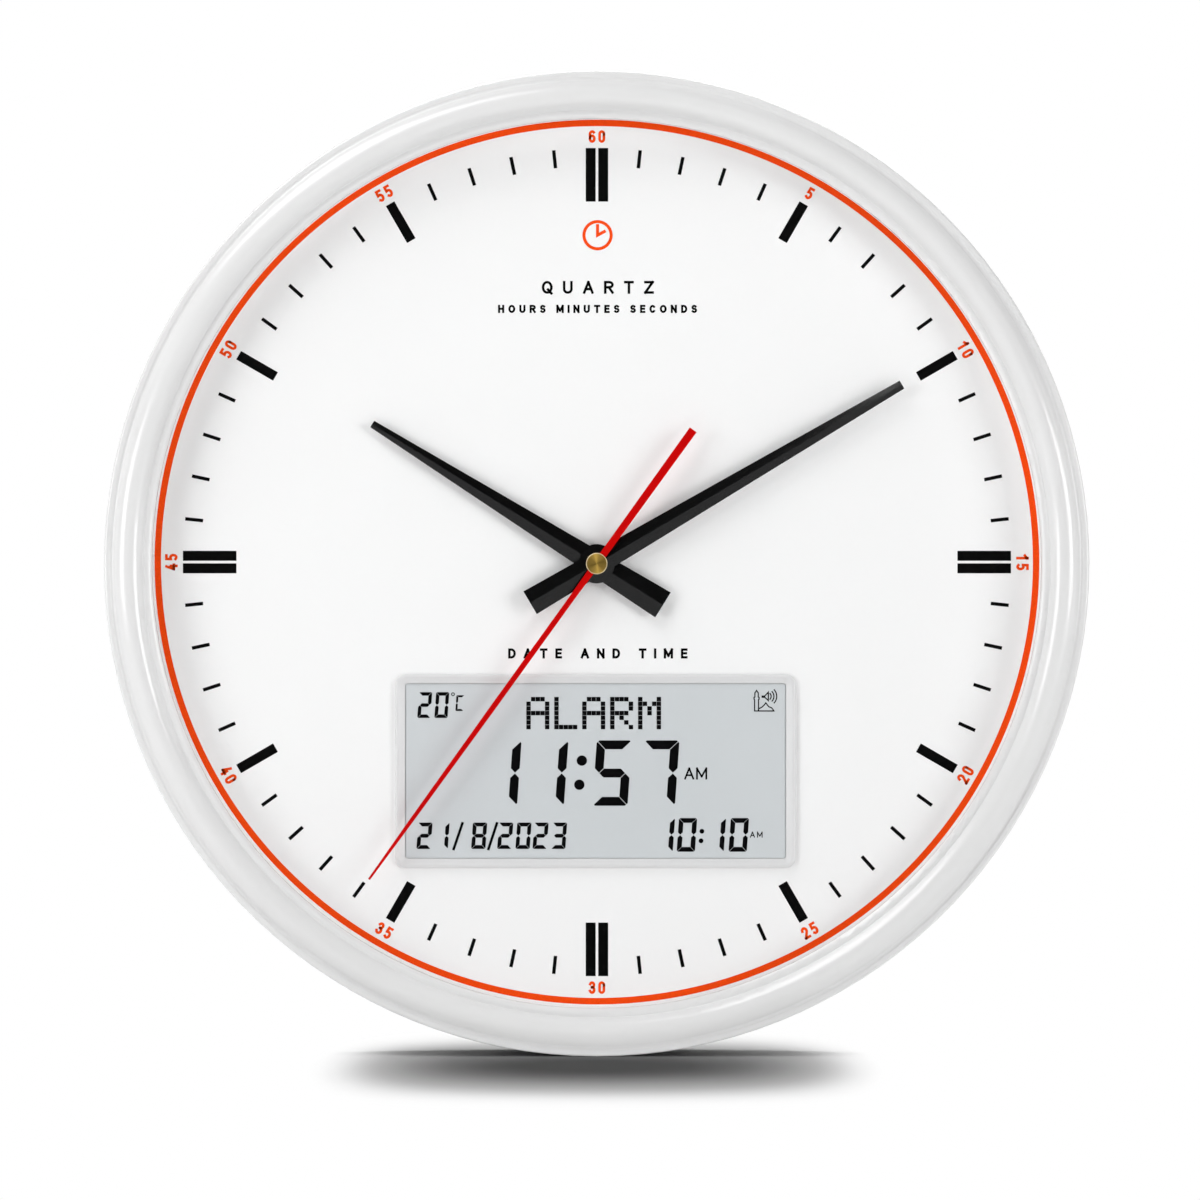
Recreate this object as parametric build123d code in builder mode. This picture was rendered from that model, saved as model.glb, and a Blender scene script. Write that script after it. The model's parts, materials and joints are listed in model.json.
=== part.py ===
from build123d import *
import os
from math import acos, cos, pi, radians, sin, tan

# Analogue wall clock with a digital prayer-time display, 350 mm across.
# Millimetres. +X is to the right of the dial, +Z is up and the dial faces -Y.
# The origin is on the wall plane, on the axis of the hands.
# "Depth" is the distance in front of the wall, so a depth d lies at Y = -d.
# A pair of depths is written back first, then front.

os.makedirs("parts", exist_ok=True)

# ---------------------------------------------------------------- front frame and glass
CLOCK_RADIUS = 175.0
FRAME_BACK = 2.2
FRAME_INNER_RADIUS = 172.4
BAND_FRONT = 48.6
BAND_INNER_RADIUS = 172.9
BAND_THICKNESS = 4.0
EDGE_ROUND = 1.0
ROLL_RADIUS = 166.4
ROLL_HALF_WIDTH = 5.0
ROLL_BASE = 49.0
ROLL_CREST = 52.0
ROLL_SHELL = 2.2
ROLL_UNDER_HALF = 3.4
ROLL_UNDER_STEP = 1.2
LIP_OUTER_RADIUS = 160.7
LIP_OUTER_DEPTH = 48.75
LIP_RADIUS = 158.0
LIP_SHOULDER = 48.0
LIP_BACK = 46.8
POCKET_RADIUS = 160.2
POCKET_WALL = 2.0
BOSS_SPAN = (5.0, 50.4)
BOSS_RADIUS = 3.6
BOSS_PILOT = (1.5, 14.0)

GLASS_RADIUS = 160.0
GLASS_BACK = 44.8
GASKET_RADIUS = 158.0
GASKET_BACK = 43.6
SPACER_RADIUS = 158.8

# ---------------------------------------------------------------- dial and display
CARRIER_BACK = 31.0
CARRIER_SKIRT = (2.0, 3.0)
DIAL_BACK = 33.0
DIAL_FRONT = 34.0
DIAL_RADIUS = 160.0
BORE_PLAY = 0.1

LCD_CENTRE = (-0.4, -74.4)
# the framed window lies a little above the middle of the board
LCD_FRAME_CENTRE = (-0.4, -73.9)
LCD_WINDOW = (135.8, 62.4)
LCD_FRAME = (143.2, 69.3)
LCD_FRAME_CORNER = 4.0
LCD_FRAME_FRONT = 36.0
LCD_FRAME_ROUND = 1.1
# width and depth of the slope from the crest of the frame down to the window
LCD_FRAME_SLOPE = (2.2, 0.7)
LCD_WINDOW_CORNER = 1.0
LCD_WINDOW_PLAY = 0.15
LCD_FACE = 34.9
LCD_CUTOUT = (137.0, 63.6)
LCD_REBATE = (136.9, 63.5)
LCD_CELL = (142.0, 68.0)
LCD_CELL_FRONT_HEIGHT = 64.8
LCD_CELL_BACK = 30.2
LCD_GLASS = 1.3
LCD_POCKET = (142.6, 68.6)
HOLDER = (148.0, 72.8)
HOLDER_CORNER = 1.5
HOLDER_OPENING = (136.4, 61.6)
ZEBRA = (138.0, 2.0)
ZEBRA_SLOT = (138.4, 2.4)
ZEBRA_OFFSET = 32.8

BOARD = (164.0, 84.0)
BOARD_CORNER = 2.0
BOARD_BACK = 27.0
BOARD_FRONT = 28.6
BOARD_HOLE = (77.5, 38.8)
BOARD_HOLE_RADIUS = 1.3
BOARD_POST = (2.5, 1.1)
BOARD_POST_END = 0.6
CHIPS = (((-18.0, 4.0), 9.0, 1.8), ((24.0, 10.0), 6.0, 1.4))
CAPACITORS = (((52.0, 16.0), 3.2, 9.0), ((60.0, 4.0), 2.5, 7.0))
CRYSTAL = ((6.0, 24.0), (11.0, 4.6), 2.2, 3.2)
CONNECTOR_X = (-66.0, -44.0, 40.0, 64.0)
CONNECTOR_Z = -30.0
CONNECTOR = (10.0, 5.8, 5.6)
RESISTOR_COUNT = 8
RESISTOR_START = (-58.0, -12.0)
RESISTOR_PITCH = 4.5
RESISTOR = (1.6, 3.2, 0.6)

# ---------------------------------------------------------------- rear cover
COVER_RADIUS = 174.6
COVER_THICKNESS = 2.2
COVER_RIM = (170.4, 172.2)
COVER_RIM_FRONT = 7.0
SCREW_CIRCLE = ROLL_RADIUS
SCREW_COUNT = 6
CUP_RADIUS = 5.2
CUP_BORE = 3.7
CUP_FLOOR = 3.0
CUP_HOLE = 1.6
POST_CIRCLE = 140.0
POST_COUNT = 6
POST_RADIUS = 3.0

WINDOW = (62.0, 64.0)
WINDOW_WALL = 2.0
WINDOW_CORNER = 1.5
SHROUD_FRONT = 14.6

HANGER_CENTRE = (0.0, 146.0)
HANGER_SPAN = (7.0, 8.2)
HANGER_PLATE = (40.0, 38.0)
HANGER_CORNER = 3.0
HANGER_OPENING = (22.0, 30.0)
HANGER_OPENING_CENTRE = (0.0, 147.0)
HANGER_OPENING_CORNER = 4.0
HANGER_BOSS_X = 15.5
HANGER_BOSS = (3.4, 1.3)
HANGER_HOLE = 1.4
KEYHOLE_CENTRE = (0.0, 141.0)
KEYHOLE_RADIUS = 4.5
KEYHOLE_SLOT = (4.4, 11.0)

# Screws: radius of the shank, radius of the head, height of the head, length of the shank
CASE_SCREW = (1.45, 3.0, 1.8, 13.0)
BOARD_SCREW = (1.05, 2.4, 1.5, 5.0)
HANGER_SCREW = (1.25, 2.8, 1.6, 5.0)
SPEAKER_SCREW = (1.15, 2.3, 1.4, 3.2)
KEY_BOARD_SCREW = (1.0, 2.2, 1.3, 6.5)
RECESS_SPAN = 1.15
RECESS_SHARE = 0.25
RECESS_DEPTH = 0.6

# ---------------------------------------------------------------- speaker
SPEAKER_CENTRE = (0.0, 84.0)
SPEAKER_RADIUS = 28.5
SPEAKER_MOUTH = 24.5
FLANGE_FRONT = 3.4
BASKET_NECK = 17.0
BASKET_WALL = 1.0
BASKET_SHOULDER = 12.6
BASKET_BORE = 7.5
YOKE_BORE = 4.2
YOKE_SPAN = (13.6, 15.0)
YOKE_RADIUS = 15.0
FERRITE_FRONT = 20.0
FERRITE_RADIUS = 14.0
BACK_PLATE_FRONT = 21.6
BACK_PLATE_RADIUS = 14.6
CONE_RIM = (24.0, 2.4)
CONE_BEND = 20.4
CONE_THROAT = (6.0, 8.8)
CONE_SHEET = 0.3
VOICE_COIL_RADIUS = 5.8
VOICE_COIL_END = 13.0
RETAINER = (26.4, 30.6)
RETAINER_FRONT = 4.6
SPEAKER_LUG = 3.6
SPEAKER_HOLE = 1.3
SPEAKER_BOSS_CIRCLE = 33.0
SPEAKER_BOSS_COUNT = 3
SPEAKER_BOSS = (2.8, 1.2)
SPEAKER_BOSS_FLOOR = 1.2
GRILLE_HOLE = 1.5
GRILLE_RINGS = ((6.0, 6), (12.0, 12), (18.0, 18))

# ---------------------------------------------------------------- battery compartment
# Two AA cells, upright and side by side, on the right
BAY_CENTRE = (94.0, 0.0)
BAY_INNER = (33.0, 60.0)
BAY_WALL = 1.6
BAY_CORNER = 1.5
BAY_FLOOR = 17.4
DOOR = (34.2, 62.2)
DOOR_THICKNESS = 2.1
DOOR_GAP = 0.4
DOOR_PIN = (0.55, 1.5)
DOOR_PIN_SLACK = 0.2
DOOR_TONGUE = (1.4, 12.0, 2.4)
DOOR_TONGUE_SET_IN = 0.9
DOOR_GRIPS = 5
DOOR_GRIP = (1.0, 14.0, 0.4)
DOOR_GRIP_START = 3.0
DOOR_GRIP_PITCH = 2.2
NOTCH_RADIUS = 7.0
NOTCH_FRONT = 1.2
CELL_RADIUS = 7.1
CELL_LENGTH = 49.0
CELL_GAP = 0.4
NUB_RADIUS = 2.7
NUB_LENGTH = 1.2
CONTACT_SIZE = (9.0, 9.0)
CONTACT_SHEET = 0.5
CONTACT_DIMPLE = 2.4
SPRING_TURNS = 5
SPRING_RADIUS = 3.6
SPRING_TAPER = 0.35
SPRING_WIDTH = 1.05

# ---------------------------------------------------------------- key panel, on the left
KEYS_X = -92.0
RECESS = (26.0, 94.0)
RECESS_WALL = 1.6
RECESS_CORNERS = (2.0, 3.0)
RECESS_FLOOR = 3.0
RECESS_FRONT = 5.0
KEY_RADIUS = 4.0
KEY_PLAY = 0.15
KEY_BACK = 1.0
KEY_ROUND = 0.6
KEY_FLANGE = (5.0, 1.2)
KEY_STEM = (1.5, 8.2)
KEY_HEIGHTS = {"mode_button": 34.0, "set_button": 20.0, "up_button": 6.0,
               "down_button": -8.0, "play_button": -22.0}
KEY_BOARD_SPAN = (12.7, 14.3)
KEY_BOARD = (20.0, 95.0)
KEY_BOARD_HOLE = 1.2
KEY_POST_Z = 44.5
KEY_POST = (2.4, 1.05)
SWITCH = (6.0, 6.0)
SWITCH_CORNER = 0.5
SWITCH_HEIGHT = 3.2
PLUNGER = (1.7, 0.3)
SLIDER_Z = -36.5
SLIDER_TRAVEL = 4.0
SLIDER = (2.6, 4.0)
SLIDER_BACK = 1.2
SLIDER_RIB = (0.5, 0.4)
SLIDER_RIB_PITCH = 1.2
SLIDER_SLOT = (3.2, 0.6)
SLIDE_SWITCH = (6.6, 12.0)
SLIDE_SWITCH_HEIGHT = 4.0
SLIDE_SWITCH_MOUTH = (3.0, 0.5, 2.0)
SLIDER_FOOT = 2.6

# ---------------------------------------------------------------- quartz movement
CASE_HALF_WIDTH = 28.0
CASE_TOP = 26.0
CASE_BOTTOM = -31.5
CASE_BACK = 15.0
CASE_SPLIT = 23.0
CASE_FRONT = CARRIER_BACK
CASE_WALL = 1.4
CASE_FRONT_WALL = 1.6
CASE_CORNERS = (2.0, 0.6)
NECK_RADIUS = 4.0
NECK_FRONT = 36.4
WASHER = (7.0, 0.6)
NUT = (5.6, 1.6)
NUT_SIDES = 6
PARTITION_Z = -14.4
PARTITION_THICKNESS = 1.0
MOVEMENT_CELL_Z = -22.4
MOVEMENT_CELL_DEPTH = 22.2
MOVEMENT_CELL_SHIFT = -0.4
MINUS_CONTACT = (3.2, 2.2, 0.4)
SHAFT_PLAY = 0.05
PIVOT_RADIUS = 0.4
PIVOT_HOLE = 1.0
ARBOR_RADIUS = 0.5
ARBOR_SHAKE = 0.1
STUD_RADIUS = 0.8
STUD_BACK = 24.4
KNOB_ARBOR = 1.0
BOARD_PEGS = ((-24.0, -10.0), (-24.0, 9.0))
BOARD_PEG = (1.6, 27.0)
MOVEMENT_BOARD = (12.4, 24.0)
MOVEMENT_BOARD_CENTRE = (-20.2, -0.5)
MOVEMENT_BOARD_SPAN = (26.0, 27.0)
MOVEMENT_CHIP = ((-20.2, 2.0), 3.0, 1.0)
STATOR_SPAN = (22.8, 24.0)
STATOR_RING = (5.0, 3.2)
STATOR_BARS = (((-7.0, 22.0), (28.0, 2.0)), ((-8.0, 16.6), (26.0, 2.0)), ((-20.0, 19.3), (2.0, 7.4)))
COIL_START = -18.0
COIL_LENGTH = 15.0
COIL_RADIUS = 2.5
KNOB_SPAN = (11.4, 14.5)
KNOB_RADIUS = 7.0
KNOB_GRIPS = 24
KNOB_GRIP = (7.3, 0.6)

# Gear train: involute teeth, eight-leaf pinions
PRESSURE_ANGLE = radians(28)
WHEEL_TIP = 0.8
PINION_TIP = 0.9
TOOTH_ROOT = 1.1
TOOTH_THINNING = 0.06
FLANK_STEPS = 3
M_ROTOR = 0.4
M_SECONDS = 0.44
M_THIRD = 0.36
M_CENTRE = 0.34
M_CANNON = 0.5
M_HOUR = 0.48
LEAVES = 8
INTERMEDIATE_TEETH = 40
SECONDS_TEETH = 48
THIRD_TEETH = 60
CENTRE_TEETH = 64
CANNON_TEETH = 12
MOTION_TEETH = 36
MOTION_LEAVES = 10
HOUR_TEETH = 40
KNOB_TEETH = 16
INTERMEDIATE_DIRECTION = radians(90)
ROTOR_DIRECTION = radians(40)
THIRD_DIRECTION = radians(165)
MOTION_DIRECTION = radians(30)
KNOB_DIRECTION = radians(-60)

# Depths of the wheels, pinions and hubs
INTERMEDIATE_PINION = (17.5, 19.5)
INTERMEDIATE_WHEEL = (19.8, 20.6)
INTERMEDIATE_HUB = (19.5, 21.0)
SECONDS_WHEEL = (18.0, 19.0)
SECONDS_HUB = (17.4, 20.8)
SECONDS_PINION = (20.8, 22.0)
ROTOR_PINION = (19.3, 21.2)
ROTOR_MAGNET = (21.2, 24.6)
THIRD_WHEEL = (21.0, 21.8)
THIRD_HUB = (20.4, 22.3)
THIRD_PINION = (22.3, 23.7)
CENTRE_WHEEL = (22.6, 23.4)
CENTRE_HUB = (23.4, 23.9)
CLUTCH = (23.9, 24.3)
CANNON_PINION = (24.3, 26.2)
MOTION_WHEEL = (25.0, 25.8)
MOTION_HUB = (24.6, 26.4)
MOTION_PINION = (26.4, 28.4)
HOUR_WHEEL = (27.0, 28.0)
HOUR_HUB = (26.4, 28.8)
KNOB_WHEEL = (24.8, 26.0)
MINUTE_TUBE_BACK = 22.4

# Radii of the hubs
INTERMEDIATE_HUB_RADIUS = 1.4
SECONDS_HUB_RADIUS = 1.3
THIRD_HUB_RADIUS = 1.2
CENTRE_HUB_RADIUS = 2.6
MOTION_HUB_RADIUS = 1.8
HOUR_HUB_RADIUS = 3.8
MAGNET_RADIUS = 2.6
CLUTCH_RADIUS = 3.4
CLUTCH_WINDOWS = 3
CLUTCH_WINDOW = (2.6, 0.5)

# ---------------------------------------------------------------- hands
# Clockwise angle from twelve, length to the tip, length of the tail and the widths there
HOUR_HAND = {"angle": 301.9, "tip": 94.2, "tail": 27.8, "tip_width": 2.7, "tail_width": 10.5}
MINUTE_HAND = {"angle": 59.6, "tip": 126.0, "tail": 27.5, "tip_width": 3.3, "tail_width": 9.4}
SECOND_HAND = {"angle": 215.8, "tip": 138.5, "tail": 58.7, "tip_width": 0.8, "tail_width": 3.0}
SECOND_NECK = (14.0, 2.05)
SECOND_SHOULDERS = ((62.0, 2.02), (112.0, 1.48))
SECOND_WAIST = 2.5
SECOND_HUB = 3.4
SECOND_SHEET = 0.4
SECOND_COLLAR = (1.5, 0.5)
HOUR_DEPTH = 37.4
MINUTE_DEPTH = 39.6
SECOND_DEPTH = 41.8
HAND_EDGE = 0.45
HAND_RIDGE = 1.2
BOSS_DROP = 0.5
BOSS_STEP = 0.04
HAND_COLLAR = 0.6
HOUR_BOSS = (6.85, 3.5)
MINUTE_BOSS = (6.5, 2.6)
HOUR_PIPE = (1.65, 2.7)
MINUTE_TUBE = (0.8, 1.6)
MINUTE_TUBE_STANDS_OUT = 0.2
SECOND_ARBOR = 0.75
CAP_RADIUS = 3.8
CAP_SPAN = (42.2, 43.8)
CAP_BEVEL = 0.25


# ---------------------------------------------------------------- shared shapes
def at(depth):
    """Plane parallel to the dial: x to the right, y up, extrusions run towards the front."""
    return Plane(origin=(0, -depth, 0), x_dir=(1, 0, 0), z_dir=(0, -1, 0))


def section(centre=(0, 0)):
    """Half-section of a turned piece: x is the radius and y is the depth."""
    return Plane(origin=(centre[0], 0, centre[1]), x_dir=(1, 0, 0), z_dir=(0, 0, -1))


def turning_axis(centre=(0, 0)):
    """Axis through a point of the dial, square to the wall."""
    return Axis((centre[0], 0, centre[1]), (0, 1, 0))


def upright(z, up):
    """Plane across the height that faces up (1) or down (-1)."""
    return Plane(origin=(0, 0, z), x_dir=(1, 0, 0), z_dir=(0, 0, up))


def bar(plane, length, radius, centre, inner=0, mode=Mode.ADD):
    """Round bar, tube or hole that starts on any plane."""
    with BuildSketch(plane) as outline:
        with Locations(centre):
            Circle(radius)
            if inner > 0:
                Circle(inner, mode=Mode.SUBTRACT)
    extrude(outline.sketch, amount=length, mode=mode)


def plate(plane, length, size, centre, mode=Mode.ADD):
    """Rectangular block that starts on any plane."""
    with BuildSketch(plane) as outline:
        with Locations(centre):
            Rectangle(size[0], size[1])
    extrude(outline.sketch, amount=length, mode=mode)


def disc(back, front, radius, centre=(0, 0), mode=Mode.ADD):
    """Round boss or hole between two depths."""
    bar(at(back), front - back, radius, centre, mode=mode)


def ring(back, front, inner, outer, centre=(0, 0)):
    """Flat ring between two depths."""
    bar(at(back), front - back, outer, centre, inner)


def slab(back, front, size, centre=(0, 0), radius=0, mode=Mode.ADD):
    """Rectangular block between two depths, with rounded corners if a radius is given."""
    with BuildSketch(at(back)) as outline:
        with Locations(centre):
            if radius > 0:
                RectangleRounded(size[0], size[1], radius)
            else:
                Rectangle(size[0], size[1])
    extrude(outline.sketch, amount=front - back, mode=mode)


def around(radius, count, start=0, centre=(0, 0)):
    """Points on a circle, the first one at the start angle."""
    return [polar(centre, radius, radians(start) + 2 * pi * k / count) for k in range(count)]


def beside(centre, offset):
    """A point at an offset from another one."""
    return (centre[0] + offset[0], centre[1] + offset[1])


def polar(centre, radius, angle):
    """A point at a distance and a direction from another one."""
    return (centre[0] + radius * cos(angle), centre[1] + radius * sin(angle))


def corners(half):
    """The four corners of a rectangle given by its half-sizes."""
    return [(side * half[0], end * half[1]) for side in (-1, 1) for end in (-1, 1)]


def wider(size, by):
    """A rectangle grown by a margin on every side."""
    return (size[0] + 2 * by, size[1] + 2 * by)


def screw(seat, centre, size, towards=1):
    """Pan-head screw with a cross recess; its shank runs to the front (1) or to the wall (-1)."""
    shank, head, height, length = size
    crown = seat - towards * height
    disc(crown, seat, head, centre)
    disc(seat, seat + towards * length, shank, centre)
    wide = head * RECESS_SPAN
    narrow = wide * RECESS_SHARE
    for cut in ((wide, narrow), (narrow, wide)):
        slab(crown, crown + towards * height * RECESS_DEPTH, cut, centre, mode=Mode.SUBTRACT)


def cell(plane, centre):
    """AA cell that stands on a plane, with its nub at the far end."""
    bar(plane, CELL_LENGTH, CELL_RADIUS, centre)
    bar(plane.offset(CELL_LENGTH), NUB_LENGTH, NUB_RADIUS, centre)


def finish(part, name):
    """Names a piece and writes it."""
    part.label = name
    export_step(part, f"parts/{name}.step")


# ---------------------------------------------------------------- toothed wheels
def involute(angle):
    return tan(angle) - angle


def toothed(span, centre, teeth, module, phase, tip):
    """Spur wheel between two depths, with one tooth centred on the phase angle."""
    pitch = teeth * module / 2
    base = pitch * cos(PRESSURE_ANGLE)
    root = pitch - TOOTH_ROOT * module
    top = pitch + tip * module
    start = max(base, root)
    half_at_pitch = pi / (2 * teeth) - TOOTH_THINNING / (2 * pitch)
    flank = []
    if root < base:
        flank.append((root, half_at_pitch + involute(PRESSURE_ANGLE)))
    for step in range(FLANK_STEPS + 1):
        radius = start + (top - start) * step / FLANK_STEPS
        half = half_at_pitch + involute(PRESSURE_ANGLE) - involute(acos(min(1.0, base / radius)))
        flank.append((radius, half))
    points = []
    for tooth in range(teeth):
        middle = phase + 2 * pi * tooth / teeth
        points += [polar(centre, radius, middle - half) for radius, half in flank]
        points += [polar(centre, radius, middle + half) for radius, half in reversed(flank)]
    with BuildSketch(at(span[0])) as outline:
        with BuildLine():
            Polyline(*points, close=True)
        make_face()
    extrude(outline.sketch, amount=span[1] - span[0])


def meshed(phase, teeth, own_teeth, direction):
    """Phase of a wheel whose gap meets a tooth of the wheel it is driven by."""
    return direction + pi + pi / own_teeth - (phase - direction) * teeth / own_teeth


def apart(teeth, own_teeth, module):
    """Distance between the centres of a meshed pair."""
    return (teeth + own_teeth) * module / 2


AXIS_HANDS = (0.0, 0.0)
AXIS_INTERMEDIATE = polar(AXIS_HANDS, apart(SECONDS_TEETH, LEAVES, M_SECONDS), INTERMEDIATE_DIRECTION)
AXIS_ROTOR = polar(AXIS_INTERMEDIATE, apart(INTERMEDIATE_TEETH, LEAVES, M_ROTOR), ROTOR_DIRECTION)
AXIS_THIRD = polar(AXIS_HANDS, apart(THIRD_TEETH, LEAVES, M_THIRD), THIRD_DIRECTION)
AXIS_MOTION = polar(AXIS_HANDS, apart(CANNON_TEETH, MOTION_TEETH, M_CANNON), MOTION_DIRECTION)
AXIS_KNOB = polar(AXIS_MOTION, apart(MOTION_TEETH, KNOB_TEETH, M_CANNON), KNOB_DIRECTION)
PIVOTED = (AXIS_INTERMEDIATE, AXIS_ROTOR, AXIS_THIRD)
CASE_INSIDE = (CASE_BACK + CASE_WALL, CASE_FRONT - CASE_FRONT_WALL)


def pivoted_arbor(centre):
    """Arbor with a thin pivot at each end, running between the two halves of the movement case."""
    disc(CASE_INSIDE[0] + ARBOR_SHAKE, CASE_INSIDE[1] - ARBOR_SHAKE, ARBOR_RADIUS, centre)
    disc(CASE_INSIDE[0] - PIVOT_HOLE + 2 * ARBOR_SHAKE, CASE_INSIDE[1] + PIVOT_HOLE - 2 * ARBOR_SHAKE,
         PIVOT_RADIUS, centre)


# ---------------------------------------------------------------- front frame and glass
screw_places = around(SCREW_CIRCLE, SCREW_COUNT)
with BuildPart() as front_frame:
    roll_arc = (ROLL_HALF_WIDTH**2 + (ROLL_CREST - ROLL_BASE) ** 2) / (2 * (ROLL_CREST - ROLL_BASE))
    under_arc = roll_arc - ROLL_SHELL
    under_depth = ROLL_CREST - roll_arc + (under_arc**2 - ROLL_UNDER_HALF**2) ** 0.5
    pocket_outer = POCKET_RADIUS + POCKET_WALL
    under_inner = (ROLL_RADIUS - ROLL_UNDER_HALF, under_depth)
    under_outer = (ROLL_RADIUS + ROLL_UNDER_HALF, under_depth)
    band_side = (CLOCK_RADIUS, BAND_FRONT - EDGE_ROUND)
    band_top = (CLOCK_RADIUS - EDGE_ROUND, BAND_FRONT)
    roll_outer = (ROLL_RADIUS + ROLL_HALF_WIDTH, ROLL_BASE)
    roll_inner = (ROLL_RADIUS - ROLL_HALF_WIDTH, ROLL_BASE)
    lip_inner = (LIP_RADIUS, LIP_SHOULDER)
    with BuildSketch(section()):
        with BuildLine():
            Polyline(lip_inner, (LIP_RADIUS, LIP_BACK), (POCKET_RADIUS, LIP_BACK),
                     (POCKET_RADIUS, CARRIER_BACK), (pocket_outer, CARRIER_BACK),
                     (pocket_outer, under_depth - ROLL_UNDER_STEP), under_inner)
            ThreePointArc(under_inner, (ROLL_RADIUS, ROLL_CREST - ROLL_SHELL), under_outer)
            Polyline(under_outer, (FRAME_INNER_RADIUS, BAND_FRONT - BAND_THICKNESS),
                     (FRAME_INNER_RADIUS, FRAME_BACK), (CLOCK_RADIUS, FRAME_BACK), band_side)
            RadiusArc(band_side, band_top, -EDGE_ROUND)
            Line(band_top, (BAND_INNER_RADIUS, BAND_FRONT))
            roll = ThreePointArc(roll_outer, (ROLL_RADIUS, ROLL_CREST), roll_inner)
            # soft valleys on both sides of the roll, the inner one running over into the lip
            TangentArc(roll_outer, (BAND_INNER_RADIUS, BAND_FRONT), tangent=-(roll % 0))
            valley = TangentArc(roll_inner, (LIP_OUTER_RADIUS, LIP_OUTER_DEPTH), tangent=roll % 1)
            TangentArc(valley @ 1, lip_inner, tangent=valley % 1)
        make_face()
    revolve(axis=Axis.Y)
    # screw bosses, from the cover cups up into the shell of the roll
    for place in screw_places:
        disc(*BOSS_SPAN, BOSS_RADIUS, place)
    for place in screw_places:
        disc(BOSS_SPAN[0], BOSS_SPAN[0] + BOSS_PILOT[1], BOSS_PILOT[0], place, Mode.SUBTRACT)
finish(front_frame.part, "front_frame")

with BuildPart() as glass_lens:
    disc(GLASS_BACK, LIP_BACK, GLASS_RADIUS)
finish(glass_lens.part, "glass_lens")

with BuildPart() as glass_gasket:
    ring(GASKET_BACK, GLASS_BACK, GASKET_RADIUS, GLASS_RADIUS)
finish(glass_gasket.part, "glass_gasket")

with BuildPart() as spacer_ring:
    ring(DIAL_FRONT, GASKET_BACK, SPACER_RADIUS, DIAL_RADIUS)
finish(spacer_ring.part, "spacer_ring")

# ---------------------------------------------------------------- dial and display
with BuildPart() as dial_plate:
    disc(DIAL_BACK, DIAL_FRONT, DIAL_RADIUS)
    disc(DIAL_BACK, DIAL_FRONT, NECK_RADIUS + BORE_PLAY, mode=Mode.SUBTRACT)
    slab(DIAL_BACK, DIAL_FRONT, LCD_CUTOUT, LCD_FRAME_CENTRE, LCD_WINDOW_CORNER, Mode.SUBTRACT)
finish(dial_plate.part, "dial_plate")

board_holes = [beside(LCD_CENTRE, place) for place in corners(BOARD_HOLE)]
with BuildPart() as dial_carrier:
    disc(CARRIER_BACK, DIAL_BACK, DIAL_RADIUS)
    ring(CARRIER_BACK - CARRIER_SKIRT[1], CARRIER_BACK, DIAL_RADIUS - CARRIER_SKIRT[0], DIAL_RADIUS)
    for place in board_holes:
        disc(BOARD_FRONT, CARRIER_BACK, BOARD_POST[0], place)
    for place in board_holes:
        disc(BOARD_FRONT, DIAL_BACK - BOARD_POST_END, BOARD_POST[1], place, Mode.SUBTRACT)
    disc(CARRIER_BACK, DIAL_BACK, NECK_RADIUS + BORE_PLAY, mode=Mode.SUBTRACT)
    slab(CARRIER_BACK, DIAL_BACK, LCD_POCKET, LCD_CENTRE, mode=Mode.SUBTRACT)
finish(dial_carrier.part, "dial_carrier")

slope_width, slope_depth = LCD_FRAME_SLOPE
crest_outline = [side + 2 * slope_width for side in LCD_WINDOW]
with BuildPart() as lcd_bezel:
    slab(DIAL_FRONT, LCD_FRAME_FRONT, LCD_FRAME, LCD_FRAME_CENTRE, LCD_FRAME_CORNER)
    fillet(lcd_bezel.edges().group_by(Axis.Y)[0], LCD_FRAME_ROUND)
    slab(DIAL_BACK, DIAL_FRONT, LCD_REBATE, LCD_FRAME_CENTRE, LCD_WINDOW_CORNER)
    slab(DIAL_BACK, LCD_FRAME_FRONT, LCD_WINDOW, LCD_FRAME_CENTRE, LCD_WINDOW_CORNER, Mode.SUBTRACT)
    with BuildSketch(at(LCD_FRAME_FRONT)) as crest:
        with Locations(LCD_FRAME_CENTRE):
            RectangleRounded(*crest_outline, LCD_WINDOW_CORNER + slope_width)
    with BuildSketch(at(LCD_FRAME_FRONT - slope_depth)) as window_edge:
        with Locations(LCD_FRAME_CENTRE):
            RectangleRounded(*LCD_WINDOW, LCD_WINDOW_CORNER)
    loft([window_edge.sketch.face(), crest.sketch.face()], mode=Mode.SUBTRACT)
finish(lcd_bezel.part, "lcd_bezel")

# the cell steps up through the window, to a little below the foot of the slope
cell_face = [side - 2 * LCD_WINDOW_PLAY for side in LCD_WINDOW]
with BuildPart() as lcd_cell:
    slab(LCD_CELL_BACK, LCD_CELL_BACK + LCD_GLASS, LCD_CELL, LCD_CENTRE)
    slab(LCD_CELL_BACK + LCD_GLASS, DIAL_BACK, (LCD_CELL[0], LCD_CELL_FRONT_HEIGHT), LCD_FRAME_CENTRE)
    slab(DIAL_BACK, LCD_FACE, cell_face, LCD_FRAME_CENTRE, LCD_WINDOW_CORNER - LCD_WINDOW_PLAY)
finish(lcd_cell.part, "lcd_cell")

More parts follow.
